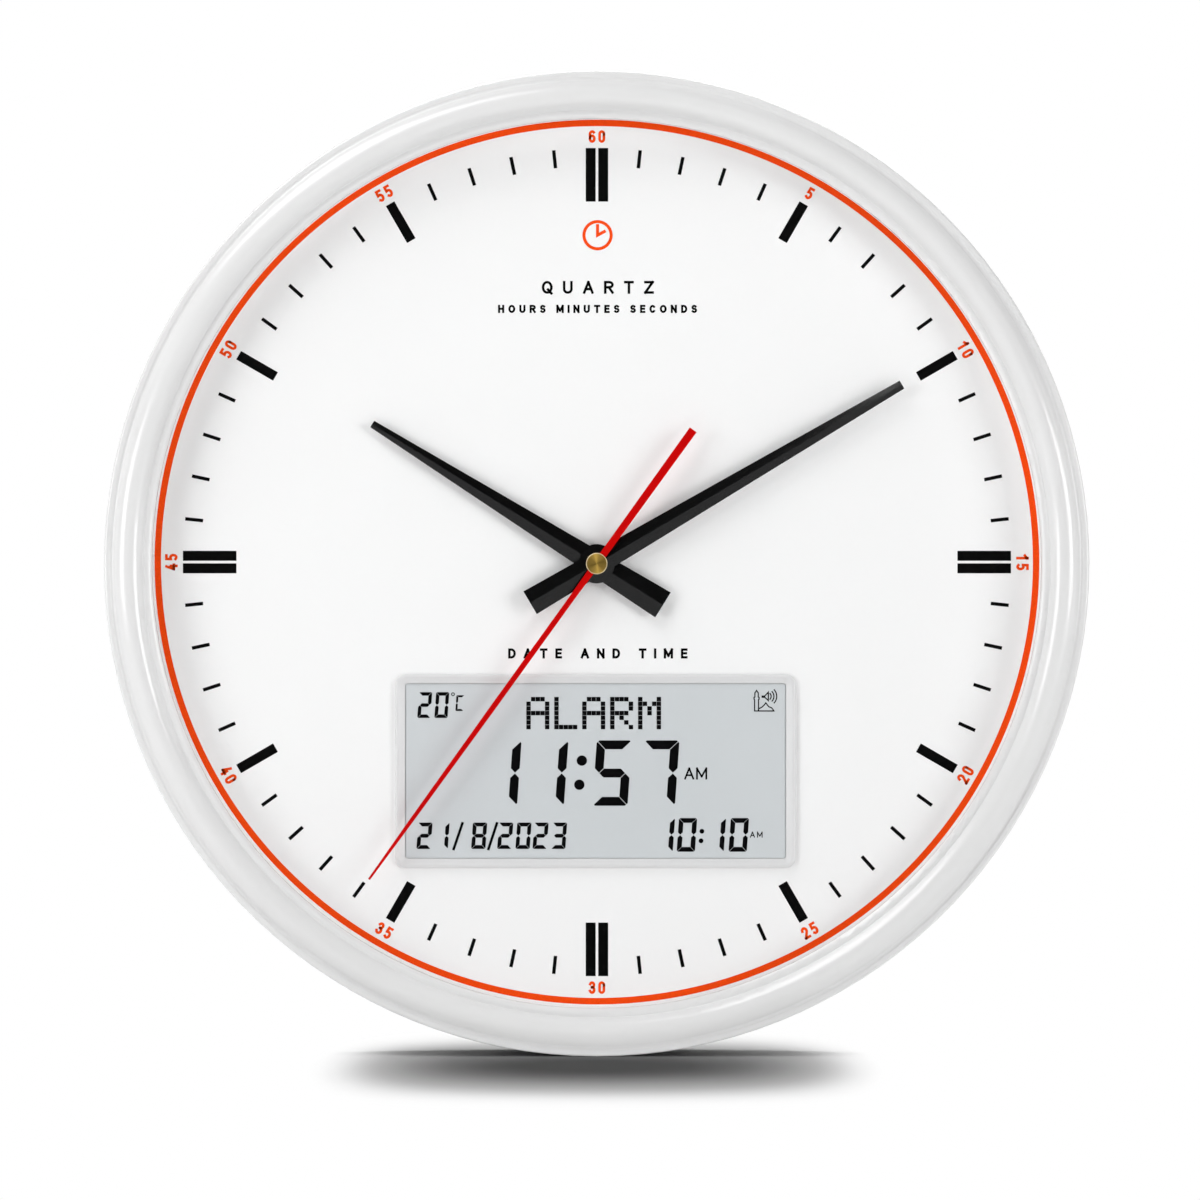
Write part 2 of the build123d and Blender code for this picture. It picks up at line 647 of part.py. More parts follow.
zebra_places = [beside(LCD_CENTRE, (0, z)) for z in (-ZEBRA_OFFSET, ZEBRA_OFFSET)]
with BuildPart() as lcd_holder:
    slab(BOARD_FRONT, CARRIER_BACK, HOLDER, LCD_CENTRE, HOLDER_CORNER)
    slab(LCD_CELL_BACK, CARRIER_BACK, LCD_POCKET, LCD_CENTRE, mode=Mode.SUBTRACT)
    slab(BOARD_FRONT, LCD_CELL_BACK, HOLDER_OPENING, LCD_CENTRE, LCD_WINDOW_CORNER, Mode.SUBTRACT)
    for place in zebra_places:
        slab(BOARD_FRONT, LCD_CELL_BACK, ZEBRA_SLOT, place, mode=Mode.SUBTRACT)
finish(lcd_holder.part, "lcd_holder")

with BuildPart() as zebra_strips:
    for place in zebra_places:
        slab(BOARD_FRONT, LCD_CELL_BACK, ZEBRA, place)
finish(zebra_strips.part, "zebra_strips")

with BuildPart() as main_board:
    slab(BOARD_BACK, BOARD_FRONT, BOARD, LCD_CENTRE, BOARD_CORNER)
    for place in board_holes:
        disc(BOARD_BACK, BOARD_FRONT, BOARD_HOLE_RADIUS, place, Mode.SUBTRACT)
finish(main_board.part, "main_board")

with BuildPart() as board_components:
    # potted chips, capacitors, a crystal, connectors and a row of resistors on the rear face
    for offset, radius, height in CHIPS + CAPACITORS:
        disc(BOARD_BACK - height, BOARD_BACK, radius, beside(LCD_CENTRE, offset))
    slab(BOARD_BACK - CRYSTAL[3], BOARD_BACK, CRYSTAL[1], beside(LCD_CENTRE, CRYSTAL[0]), CRYSTAL[2])
    for x in CONNECTOR_X:
        slab(BOARD_BACK - CONNECTOR[2], BOARD_BACK, CONNECTOR[:2], beside(LCD_CENTRE, (x, CONNECTOR_Z)))
    for k in range(RESISTOR_COUNT):
        offset = (RESISTOR_START[0] + RESISTOR_PITCH * k, RESISTOR_START[1])
        slab(BOARD_BACK - RESISTOR[2], BOARD_BACK, RESISTOR[:2], beside(LCD_CENTRE, offset))
finish(board_components.part, "board_components")

with BuildPart() as board_screws:
    for place in board_holes:
        screw(BOARD_BACK, place, BOARD_SCREW)
finish(board_screws.part, "board_screws")

# ---------------------------------------------------------------- rear cover
window_centre = (0.0, (CASE_TOP + CASE_BOTTOM) / 2)
recess_centre = (KEYS_X, 0.0)
key_posts = [(KEYS_X, z) for z in (-KEY_POST_Z, KEY_POST_Z)]
slide_centre = (KEYS_X, SLIDER_Z + SLIDER_TRAVEL / 2)
slide_span = SLIDER[1] + SLIDER_TRAVEL
hanger_bosses = [beside(HANGER_CENTRE, (x, 0)) for x in (-HANGER_BOSS_X, HANGER_BOSS_X)]
speaker_bosses = around(SPEAKER_BOSS_CIRCLE, SPEAKER_BOSS_COUNT, 90, SPEAKER_CENTRE)
door_hinge = (BAY_CENTRE[0] + DOOR[0] / 2 - DOOR_THICKNESS / 2, DOOR_THICKNESS / 2)
door_pin_reach = DOOR[1] / 2 + DOOR_PIN[1]
with BuildPart() as rear_cover:
    disc(0, COVER_THICKNESS, COVER_RADIUS)
    ring(COVER_THICKNESS, COVER_RIM_FRONT, *COVER_RIM)
    for place in screw_places:
        disc(COVER_THICKNESS, BOSS_SPAN[0], CUP_RADIUS, place)
    for place in around(POST_CIRCLE, POST_COUNT):
        disc(COVER_THICKNESS, CARRIER_BACK, POST_RADIUS, place)
    # shrouded window behind the movement
    slab(COVER_THICKNESS, SHROUD_FRONT, wider(WINDOW, WINDOW_WALL), window_centre, 2 * WINDOW_CORNER)
    slab(0, SHROUD_FRONT, WINDOW, window_centre, WINDOW_CORNER, Mode.SUBTRACT)
    # battery compartment, with a ledge behind the door, a finger notch and sockets for the door's pins
    slab(COVER_THICKNESS, BAY_FLOOR + BAY_WALL, wider(BAY_INNER, BAY_WALL), BAY_CENTRE, BAY_CORNER)
    slab(COVER_THICKNESS, BAY_FLOOR, BAY_INNER, BAY_CENTRE, mode=Mode.SUBTRACT)
    slab(0, COVER_THICKNESS, wider(DOOR, DOOR_GAP), BAY_CENTRE, mode=Mode.SUBTRACT)
    notch = (BAY_CENTRE[0] - DOOR[0] / 2 - DOOR_GAP, 0)
    disc(0, NOTCH_FRONT, NOTCH_RADIUS, notch, Mode.SUBTRACT)
    socket_end = door_pin_reach + DOOR_PIN_SLACK
    bar(upright(-socket_end, 1), 2 * socket_end, DOOR_PIN[0] + SHAFT_PLAY, (door_hinge[0], -door_hinge[1]),
        mode=Mode.SUBTRACT)
    # recessed key panel
    slab(COVER_THICKNESS, RECESS_FRONT, wider(RECESS, RECESS_WALL), recess_centre, RECESS_CORNERS[1])
    slab(0, RECESS_FLOOR, RECESS, recess_centre, RECESS_CORNERS[0], Mode.SUBTRACT)
    for z in KEY_HEIGHTS.values():
        disc(RECESS_FLOOR, RECESS_FRONT, KEY_RADIUS + KEY_PLAY, (KEYS_X, z), Mode.SUBTRACT)
    slab(RECESS_FLOOR, RECESS_FRONT, (SLIDER_SLOT[0], slide_span + SLIDER_SLOT[1]), slide_centre,
         mode=Mode.SUBTRACT)
    for place in key_posts:
        disc(RECESS_FRONT, KEY_BOARD_SPAN[0], KEY_POST[0], place)
    for place in key_posts:
        disc(RECESS_FRONT + 1, KEY_BOARD_SPAN[0], KEY_POST[1], place, Mode.SUBTRACT)
    # hanger opening and the bosses that carry the steel plate
    slab(0, COVER_THICKNESS, HANGER_OPENING, HANGER_OPENING_CENTRE, HANGER_OPENING_CORNER, Mode.SUBTRACT)
    for place in hanger_bosses:
        disc(COVER_THICKNESS, HANGER_SPAN[0], HANGER_BOSS[0], place)
    for place in hanger_bosses:
        disc(COVER_THICKNESS, HANGER_SPAN[0], HANGER_BOSS[1], place, Mode.SUBTRACT)
    # speaker grille and screw bosses
    for place in speaker_bosses:
        disc(COVER_THICKNESS, FLANGE_FRONT, SPEAKER_BOSS[0], place)
    for place in speaker_bosses:
        disc(SPEAKER_BOSS_FLOOR, FLANGE_FRONT, SPEAKER_BOSS[1], place, Mode.SUBTRACT)
    with BuildSketch(at(0)) as grille:
        with Locations(SPEAKER_CENTRE):
            Circle(GRILLE_HOLE)
            for radius, count in GRILLE_RINGS:
                with PolarLocations(radius, count):
                    Circle(GRILLE_HOLE)
    extrude(grille.sketch, amount=COVER_THICKNESS, mode=Mode.SUBTRACT)
    for place in screw_places:
        disc(0, CUP_FLOOR, CUP_BORE, place, Mode.SUBTRACT)
    for place in screw_places:
        disc(CUP_FLOOR, BOSS_SPAN[0], CUP_HOLE, place, Mode.SUBTRACT)
finish(rear_cover.part, "rear_cover")

with BuildPart() as case_screws:
    for place in screw_places:
        screw(CUP_FLOOR, place, CASE_SCREW)
finish(case_screws.part, "case_screws")

with BuildPart() as hanger_plate:
    slab(*HANGER_SPAN, HANGER_PLATE, HANGER_CENTRE, HANGER_CORNER)
    slot_width, slot_length = KEYHOLE_SLOT
    slot_end = beside(KEYHOLE_CENTRE, (0, slot_length))
    disc(*HANGER_SPAN, KEYHOLE_RADIUS, KEYHOLE_CENTRE, Mode.SUBTRACT)
    slab(*HANGER_SPAN, KEYHOLE_SLOT, beside(KEYHOLE_CENTRE, (0, slot_length / 2)), mode=Mode.SUBTRACT)
    disc(*HANGER_SPAN, slot_width / 2, slot_end, Mode.SUBTRACT)
    for place in hanger_bosses:
        disc(*HANGER_SPAN, HANGER_HOLE, place, Mode.SUBTRACT)
finish(hanger_plate.part, "hanger_plate")

with BuildPart() as hanger_screws:
    for place in hanger_bosses:
        screw(HANGER_SPAN[1], place, HANGER_SCREW, -1)
finish(hanger_screws.part, "hanger_screws")

# ---------------------------------------------------------------- speaker
with BuildPart() as speaker_basket:
    with BuildSketch(section(SPEAKER_CENTRE)):
        with BuildLine():
            Polyline(
                (SPEAKER_MOUTH, COVER_THICKNESS), (SPEAKER_RADIUS, COVER_THICKNESS),
                (SPEAKER_RADIUS, FLANGE_FRONT), (SPEAKER_MOUTH + BASKET_WALL, FLANGE_FRONT),
                (BASKET_NECK, BASKET_SHOULDER), (BASKET_NECK, YOKE_SPAN[0]), (BASKET_BORE, YOKE_SPAN[0]),
                (BASKET_BORE, BASKET_SHOULDER), (BASKET_NECK - BASKET_WALL, BASKET_SHOULDER), close=True,
            )
        make_face()
    revolve(axis=turning_axis(SPEAKER_CENTRE))
finish(speaker_basket.part, "speaker_basket")

with BuildPart() as speaker_magnet:
    ring(*YOKE_SPAN, YOKE_BORE, YOKE_RADIUS, SPEAKER_CENTRE)
    ring(YOKE_SPAN[1], FERRITE_FRONT, YOKE_BORE, FERRITE_RADIUS, SPEAKER_CENTRE)
    disc(FERRITE_FRONT, BACK_PLATE_FRONT, BACK_PLATE_RADIUS, SPEAKER_CENTRE)
finish(speaker_magnet.part, "speaker_magnet")

with BuildPart() as speaker_cone:
    rim_radius, rim_back = CONE_RIM
    throat_radius, throat_back = CONE_THROAT
    coil_outer = VOICE_COIL_RADIUS + 1.5 * CONE_SHEET
    with BuildSketch(section(SPEAKER_CENTRE)):
        with BuildLine():
            Polyline(
                (0, throat_back), (throat_radius, throat_back), (CONE_BEND, rim_back), (rim_radius, rim_back),
                (rim_radius, rim_back + CONE_SHEET), (CONE_BEND + CONE_SHEET, rim_back + CONE_SHEET),
                (coil_outer, throat_back + 2 * CONE_SHEET), (coil_outer, VOICE_COIL_END),
                (VOICE_COIL_RADIUS, VOICE_COIL_END), (VOICE_COIL_RADIUS, throat_back + 1.5 * CONE_SHEET),
                (0, throat_back + 1.5 * CONE_SHEET), close=True,
            )
        make_face()
    revolve(axis=turning_axis(SPEAKER_CENTRE))
finish(speaker_cone.part, "speaker_cone")

with BuildPart() as speaker_retainer:
    ring(FLANGE_FRONT, RETAINER_FRONT, *RETAINER, SPEAKER_CENTRE)
    for place in speaker_bosses:
        disc(FLANGE_FRONT, RETAINER_FRONT, SPEAKER_LUG, place)
    for place in speaker_bosses:
        disc(FLANGE_FRONT, RETAINER_FRONT, SPEAKER_HOLE, place, Mode.SUBTRACT)
finish(speaker_retainer.part, "speaker_retainer")

with BuildPart() as speaker_screws:
    for place in speaker_bosses:
        screw(RETAINER_FRONT, place, SPEAKER_SCREW, -1)
finish(speaker_screws.part, "speaker_screws")

# ---------------------------------------------------------------- battery compartment
azan_cell_depth = BAY_FLOOR - BORE_PLAY - CELL_RADIUS
azan_cell_x = [BAY_CENTRE[0] + side * (CELL_RADIUS + CELL_GAP) for side in (-1, 1)]
# each cell: its place in the plane that faces its nub, and the way that the nub points
azan_spots = [((x, -up * azan_cell_depth), up) for x, up in zip(azan_cell_x, (1, -1))]
bay_end = BAY_INNER[1] / 2
with BuildPart() as azan_cells:
    for spot, up in azan_spots:
        cell(upright(-up * CELL_LENGTH / 2, up), spot)
finish(azan_cells.part, "azan_cells")

with BuildPart() as battery_tabs:
    nub_tip = CELL_LENGTH / 2 + NUB_LENGTH
    tab_room = bay_end - CONTACT_SHEET - nub_tip
    for spot, up in azan_spots:
        bar(upright(up * nub_tip, up), tab_room, CONTACT_DIMPLE, spot)
        plate(upright(up * (nub_tip + tab_room), up), CONTACT_SHEET, CONTACT_SIZE, spot)
finish(battery_tabs.part, "battery_tabs")

with BuildPart() as battery_springs:
    turn_height = (bay_end - CELL_LENGTH / 2 - CONTACT_SHEET) / SPRING_TURNS
    for spot, up in azan_spots:
        foot = upright(-up * bay_end, up)
        plate(foot, CONTACT_SHEET, CONTACT_SIZE, spot)
        for turn in range(SPRING_TURNS):
            radius = SPRING_RADIUS - SPRING_TAPER * turn
            bar(foot.offset(CONTACT_SHEET + turn_height * turn), turn_height, radius, spot,
                radius - SPRING_WIDTH)
finish(battery_springs.part, "battery_springs")

with BuildPart() as battery_door:
    slab(0, DOOR_THICKNESS, DOOR, BAY_CENTRE)
    hinge_edges = battery_door.edges().filter_by(Axis.Z).group_by(Axis.X)[-1]
    fillet(hinge_edges, DOOR_THICKNESS / 2 - 0.01)
    bar(upright(-door_pin_reach, 1), 2 * door_pin_reach, DOOR_PIN[0], (door_hinge[0], -door_hinge[1]))
    tongue_x = BAY_CENTRE[0] - BAY_INNER[0] / 2 + DOOR_TONGUE_SET_IN
    slab(DOOR_THICKNESS, DOOR_THICKNESS + DOOR_TONGUE[2], DOOR_TONGUE[:2], (tongue_x, 0))
    grip_start = BAY_CENTRE[0] - DOOR[0] / 2 + DOOR_GRIP_START
    for k in range(DOOR_GRIPS):
        slab(0, DOOR_GRIP[2], DOOR_GRIP[:2], (grip_start + DOOR_GRIP_PITCH * k, 0), mode=Mode.SUBTRACT)
finish(battery_door.part, "battery_door")

# ---------------------------------------------------------------- keys and volume slider
for name, height in KEY_HEIGHTS.items():
    with BuildPart() as button:
        disc(KEY_BACK, RECESS_FRONT, KEY_RADIUS, (KEYS_X, height))
        fillet(button.edges().group_by(Axis.Y)[-1], KEY_ROUND)
        disc(RECESS_FRONT, RECESS_FRONT + KEY_FLANGE[1], KEY_FLANGE[0], (KEYS_X, height))
        disc(RECESS_FRONT + KEY_FLANGE[1], KEY_STEM[1], KEY_STEM[0], (KEYS_X, height))
    finish(button.part, name)

switch_back = KEY_BOARD_SPAN[0] - SWITCH_HEIGHT
with BuildPart() as tact_switches:
    for z in KEY_HEIGHTS.values():
        slab(switch_back, KEY_BOARD_SPAN[0], SWITCH, (KEYS_X, z), SWITCH_CORNER)
        disc(switch_back - PLUNGER[1], switch_back, PLUNGER[0], (KEYS_X, z))
finish(tact_switches.part, "tact_switches")

with BuildPart() as volume_slider:
    slab(SLIDER_BACK, KEY_BOARD_SPAN[0] - SLIDER_FOOT, SLIDER, (KEYS_X, SLIDER_Z))
    for z in (-SLIDER_RIB_PITCH, 0, SLIDER_RIB_PITCH):
        slab(SLIDER_BACK, SLIDER_BACK + SLIDER_RIB[1], (SLIDER[0], SLIDER_RIB[0]), (KEYS_X, SLIDER_Z + z),
             mode=Mode.SUBTRACT)
finish(volume_slider.part, "volume_slider")

slide_switch_back = KEY_BOARD_SPAN[0] - SLIDE_SWITCH_HEIGHT
mouth_width, mouth_play, mouth_depth = SLIDE_SWITCH_MOUTH
with BuildPart() as slide_switch:
    slab(slide_switch_back, KEY_BOARD_SPAN[0], SLIDE_SWITCH, slide_centre, SWITCH_CORNER)
    slab(slide_switch_back, slide_switch_back + mouth_depth, (mouth_width, slide_span + mouth_play),
         slide_centre, mode=Mode.SUBTRACT)
finish(slide_switch.part, "slide_switch")

with BuildPart() as key_board:
    slab(*KEY_BOARD_SPAN, KEY_BOARD, recess_centre, SWITCH_CORNER)
    for place in key_posts:
        disc(*KEY_BOARD_SPAN, KEY_BOARD_HOLE, place, Mode.SUBTRACT)
finish(key_board.part, "key_board")

with BuildPart() as key_board_screws:
    for place in key_posts:
        screw(KEY_BOARD_SPAN[1], place, KEY_BOARD_SCREW, -1)
finish(key_board_screws.part, "key_board_screws")

# ---------------------------------------------------------------- movement case
case_size = (2 * CASE_HALF_WIDTH, CASE_TOP - CASE_BOTTOM)
case_room = wider(case_size, -CASE_WALL)
partition = (case_room[0], PARTITION_THICKNESS)
with BuildPart() as movement_case:
    slab(CASE_SPLIT, CASE_FRONT, case_size, window_centre, CASE_CORNERS[0])
    slab(CASE_SPLIT, CASE_INSIDE[1], case_room, window_centre, CASE_CORNERS[1], Mode.SUBTRACT)
    slab(CASE_SPLIT, CASE_INSIDE[1], partition, (0, PARTITION_Z))
    disc(CASE_FRONT, NECK_FRONT, NECK_RADIUS)
    disc(STUD_BACK, CASE_INSIDE[1], STUD_RADIUS, AXIS_MOTION)
    for place in BOARD_PEGS:
        disc(BOARD_PEG[1], CASE_INSIDE[1], BOARD_PEG[0], place)
    disc(CASE_INSIDE[1], NECK_FRONT, HOUR_PIPE[1] + SHAFT_PLAY, mode=Mode.SUBTRACT)
    for place in PIVOTED:
        disc(CASE_INSIDE[1], CASE_INSIDE[1] + PIVOT_HOLE, PIVOT_RADIUS + SHAFT_PLAY, place, Mode.SUBTRACT)
    disc(CASE_INSIDE[1], CASE_INSIDE[1] + PIVOT_HOLE, KNOB_ARBOR + SHAFT_PLAY, AXIS_KNOB, Mode.SUBTRACT)
finish(movement_case.part, "movement_case")

with BuildPart() as movement_cover:
    slab(CASE_BACK, CASE_SPLIT, case_size, window_centre, CASE_CORNERS[0])
    slab(CASE_INSIDE[0], CASE_SPLIT, case_room, window_centre, CASE_CORNERS[1], Mode.SUBTRACT)
    slab(CASE_INSIDE[0], CASE_SPLIT, partition, (0, PARTITION_Z))
    # open cell compartment below the partition
    bay_bottom = CASE_BOTTOM + CASE_WALL
    bay_top = PARTITION_Z - PARTITION_THICKNESS / 2
    slab(CASE_BACK, CASE_INSIDE[0], (case_room[0], bay_top - bay_bottom), (0, (bay_top + bay_bottom) / 2),
         mode=Mode.SUBTRACT)
    for place in PIVOTED + (AXIS_HANDS,):
        disc(CASE_INSIDE[0] - PIVOT_HOLE, CASE_INSIDE[0], PIVOT_RADIUS + SHAFT_PLAY, place, Mode.SUBTRACT)
    disc(CASE_BACK, CASE_INSIDE[0], KNOB_ARBOR + SHAFT_PLAY, AXIS_KNOB, Mode.SUBTRACT)
finish(movement_cover.part, "movement_cover")

# the cell of the movement lies along X, with its nub to the right
cell_spot = (-MOVEMENT_CELL_DEPTH, MOVEMENT_CELL_Z)
cell_left = MOVEMENT_CELL_SHIFT - CELL_LENGTH / 2
cell_nub = MOVEMENT_CELL_SHIFT + CELL_LENGTH / 2 + NUB_LENGTH
with BuildPart() as movement_cell:
    cell(Plane.YZ.offset(cell_left), cell_spot)
finish(movement_cell.part, "movement_cell")

with BuildPart() as cell_contacts:
    room_end = case_room[0] / 2
    spring_outer, spring_inner, sheet = MINUS_CONTACT
    plate(Plane.YZ.offset(-room_end), sheet, CONTACT_SIZE, cell_spot)
    plate(Plane.YZ.offset(cell_nub), room_end - cell_nub, CONTACT_SIZE, cell_spot)
    bar(Plane.YZ.offset(sheet - room_end), cell_left + room_end - sheet, spring_outer, cell_spot,
        spring_inner)
finish(cell_contacts.part, "cell_contacts")

with BuildPart() as neck_washer:
    ring(DIAL_FRONT, DIAL_FRONT + WASHER[1], NECK_RADIUS + BORE_PLAY, WASHER[0])
finish(neck_washer.part, "neck_washer")

with BuildPart() as neck_nut:
    with BuildSketch(at(DIAL_FRONT + WASHER[1])):
        RegularPolygon(NUT[0], NUT_SIDES)
        Circle(NECK_RADIUS, mode=Mode.SUBTRACT)
    extrude(amount=NUT[1])
finish(neck_nut.part, "neck_nut")

# ---------------------------------------------------------------- stepping motor
with BuildPart() as stator:
    with BuildSketch(at(STATOR_SPAN[0])):
        with Locations(AXIS_ROTOR):
            Circle(STATOR_RING[0])
        for middle, size in STATOR_BARS:
            with Locations(middle):
                Rectangle(size[0], size[1])
        with Locations(AXIS_ROTOR):
            Circle(STATOR_RING[1], mode=Mode.SUBTRACT)
    extrude(amount=STATOR_SPAN[1] - STATOR_SPAN[0])
finish(stator.part, "stator")

with BuildPart() as motor_coil:
    core_middle, core_size = STATOR_BARS[0]
    stator_thickness = STATOR_SPAN[1] - STATOR_SPAN[0]
    with BuildSketch(Plane.YZ.offset(COIL_START)):
        with Locations((-(STATOR_SPAN[0] + STATOR_SPAN[1]) / 2, core_middle[1])):
            Circle(COIL_RADIUS)
            Rectangle(stator_thickness, core_size[1], mode=Mode.SUBTRACT)
    extrude(amount=COIL_LENGTH)
finish(motor_coil.part, "motor_coil")

rotor_phase = meshed(0, INTERMEDIATE_TEETH, LEAVES, ROTOR_DIRECTION)
with BuildPart() as rotor:
    pivoted_arbor(AXIS_ROTOR)
    disc(*ROTOR_MAGNET, MAGNET_RADIUS, AXIS_ROTOR)
    toothed(ROTOR_PINION, AXIS_ROTOR, LEAVES, M_ROTOR, rotor_phase, PINION_TIP)
finish(rotor.part, "rotor")

# ---------------------------------------------------------------- going train
intermediate_phase = meshed(0, SECONDS_TEETH, LEAVES, INTERMEDIATE_DIRECTION)
with BuildPart() as intermediate_wheel:
    pivoted_arbor(AXIS_INTERMEDIATE)
    toothed(INTERMEDIATE_PINION, AXIS_INTERMEDIATE, LEAVES, M_SECONDS, intermediate_phase, PINION_TIP)
    toothed(INTERMEDIATE_WHEEL, AXIS_INTERMEDIATE, INTERMEDIATE_TEETH, M_ROTOR, 0, WHEEL_TIP)
    disc(*INTERMEDIATE_HUB, INTERMEDIATE_HUB_RADIUS, AXIS_INTERMEDIATE)
finish(intermediate_wheel.part, "intermediate_wheel")

with BuildPart() as seconds_wheel:
    disc(CASE_INSIDE[0] - PIVOT_HOLE + 2 * ARBOR_SHAKE, CASE_INSIDE[0] + 2 * ARBOR_SHAKE, PIVOT_RADIUS)
    disc(CASE_INSIDE[0] + ARBOR_SHAKE, SECOND_DEPTH + SECOND_SHEET, SECOND_ARBOR)
    toothed(SECONDS_WHEEL, AXIS_HANDS, SECONDS_TEETH, M_SECONDS, 0, WHEEL_TIP)
    disc(*SECONDS_HUB, SECONDS_HUB_RADIUS)
    toothed(SECONDS_PINION, AXIS_HANDS, LEAVES, M_THIRD, 0, PINION_TIP)
finish(seconds_wheel.part, "seconds_wheel")

third_phase = meshed(0, LEAVES, THIRD_TEETH, THIRD_DIRECTION)
with BuildPart() as third_wheel:
    pivoted_arbor(AXIS_THIRD)
    toothed(THIRD_WHEEL, AXIS_THIRD, THIRD_TEETH, M_THIRD, third_phase, WHEEL_TIP)
    disc(*THIRD_HUB, THIRD_HUB_RADIUS, AXIS_THIRD)
    toothed(THIRD_PINION, AXIS_THIRD, LEAVES, M_CENTRE, 0, PINION_TIP)
finish(third_wheel.part, "third_wheel")

centre_phase = meshed(0, LEAVES, CENTRE_TEETH, THIRD_DIRECTION + pi)
with BuildPart() as centre_wheel:
    toothed(CENTRE_WHEEL, AXIS_HANDS, CENTRE_TEETH, M_CENTRE, centre_phase, WHEEL_TIP)
    disc(*CENTRE_HUB, CENTRE_HUB_RADIUS)
    disc(CENTRE_WHEEL[0], CENTRE_HUB[1], MINUTE_TUBE[1], mode=Mode.SUBTRACT)
finish(centre_wheel.part, "centre_wheel")

with BuildPart() as clutch_spring:
    ring(*CLUTCH, MINUTE_TUBE[1], CLUTCH_RADIUS)
    for place in around(CLUTCH_WINDOW[0], CLUTCH_WINDOWS):
        disc(*CLUTCH, CLUTCH_WINDOW[1], place, Mode.SUBTRACT)
finish(clutch_spring.part, "clutch_spring")

# ---------------------------------------------------------------- motion work
minute_tube_front = MINUTE_DEPTH + HAND_RIDGE + MINUTE_TUBE_STANDS_OUT
with BuildPart() as minute_arbor:
    disc(MINUTE_TUBE_BACK, minute_tube_front, MINUTE_TUBE[1])
    toothed(CANNON_PINION, AXIS_HANDS, CANNON_TEETH, M_CANNON, 0, PINION_TIP)
    disc(MINUTE_TUBE_BACK, minute_tube_front, MINUTE_TUBE[0], mode=Mode.SUBTRACT)
finish(minute_arbor.part, "minute_arbor")

motion_phase = meshed(0, CANNON_TEETH, MOTION_TEETH, MOTION_DIRECTION)
with BuildPart() as motion_wheel:
    toothed(MOTION_WHEEL, AXIS_MOTION, MOTION_TEETH, M_CANNON, motion_phase, WHEEL_TIP)
    disc(*MOTION_HUB, MOTION_HUB_RADIUS, AXIS_MOTION)
    toothed(MOTION_PINION, AXIS_MOTION, MOTION_LEAVES, M_HOUR, 0, PINION_TIP)
    disc(MOTION_HUB[0], MOTION_PINION[1], STUD_RADIUS + SHAFT_PLAY, AXIS_MOTION, Mode.SUBTRACT)
finish(motion_wheel.part, "motion_wheel")

hour_phase = meshed(0, MOTION_LEAVES, HOUR_TEETH, MOTION_DIRECTION + pi)
with BuildPart() as hour_wheel:
    toothed(HOUR_WHEEL, AXIS_HANDS, HOUR_TEETH, M_HOUR, hour_phase, WHEEL_TIP)
    disc(*HOUR_HUB, HOUR_HUB_RADIUS)
    disc(HOUR_HUB[1], HOUR_DEPTH + HAND_RIDGE, HOUR_PIPE[1])
    disc(HOUR_HUB[0], HOUR_DEPTH + HAND_RIDGE, HOUR_PIPE[0], mode=Mode.SUBTRACT)
finish(hour_wheel.part, "hour_wheel")

knob_phase = meshed(motion_phase, MOTION_TEETH, KNOB_TEETH, KNOB_DIRECTION)
with BuildPart() as setting_knob:
    disc(*KNOB_SPAN, KNOB_RADIUS, AXIS_KNOB)
    for place in around(KNOB_GRIP[0], KNOB_GRIPS, centre=AXIS_KNOB):
        disc(*KNOB_SPAN, KNOB_GRIP[1], place, Mode.SUBTRACT)
    disc(KNOB_SPAN[1], CASE_INSIDE[1] + PIVOT_HOLE - ARBOR_SHAKE, KNOB_ARBOR, AXIS_KNOB)
    toothed(KNOB_WHEEL, AXIS_KNOB, KNOB_TEETH, M_CANNON, knob_phase, WHEEL_TIP)
finish(setting_knob.part, "setting_knob")

with BuildPart() as movement_board:
    slab(*MOVEMENT_BOARD_SPAN, MOVEMENT_BOARD, MOVEMENT_BOARD_CENTRE)
    chip_place, chip_radius, chip_height = MOVEMENT_CHIP
    disc(MOVEMENT_BOARD_SPAN[0] - chip_height, MOVEMENT_BOARD_SPAN[0], chip_radius, chip_place)
finish(movement_board.part, "movement_board")


# ---------------------------------------------------------------- hands
def along(hand, depth):
    """Plane of a hand: x runs from the hub to the tip and extrusions run towards the front."""
    angle = radians(hand["angle"])
    return Plane(origin=(0, -depth, 0), x_dir=(sin(angle), 0, cos(angle)), z_dir=(0, -1, 0))


def roof(hand, depth, station, half, back, edge):
    """Section across a hand: flat behind, with two slopes that meet in a ridge in front."""
    flat = along(hand, depth)
    across = Plane(origin=flat.from_local_coords((station, 0, 0)), x_dir=flat.y_dir, z_dir=flat.x_dir)
    with BuildSketch(across) as profile:
        with BuildLine():
            Polyline((-half, back), (half, back), (half, edge), (0, HAND_RIDGE), (-half, edge), close=True)
        make_face()
    return profile.sketch.faces()[0]


def roofed_blade(hand, depth):
    """Tapered blade, folded along its ridge."""
    tail = roof(hand, depth, -hand["tail"], hand["tail_width"] / 2, 0, HAND_EDGE)
    tip = roof(hand, depth, hand["tip"], hand["tip_width"] / 2, 0, HAND_EDGE)
    loft(sections=[tail, tip], ruled=True)


def roofed_boss(hand, depth, radius):
    """Round boss that goes on with the slopes of the blade."""
    share = hand["tail"] / (hand["tail"] + hand["tip"])
    half_at_hub = (hand["tail_width"] + share * (hand["tip_width"] - hand["tail_width"])) / 2
    edge = HAND_RIDGE - (HAND_RIDGE - HAND_EDGE) * radius / half_at_hub
    block = roof(hand, depth, -radius, radius, -BOSS_DROP, edge)
    extrude(block, amount=2 * radius)
    disc(depth - BOSS_DROP, depth + HAND_RIDGE, radius, mode=Mode.INTERSECT)


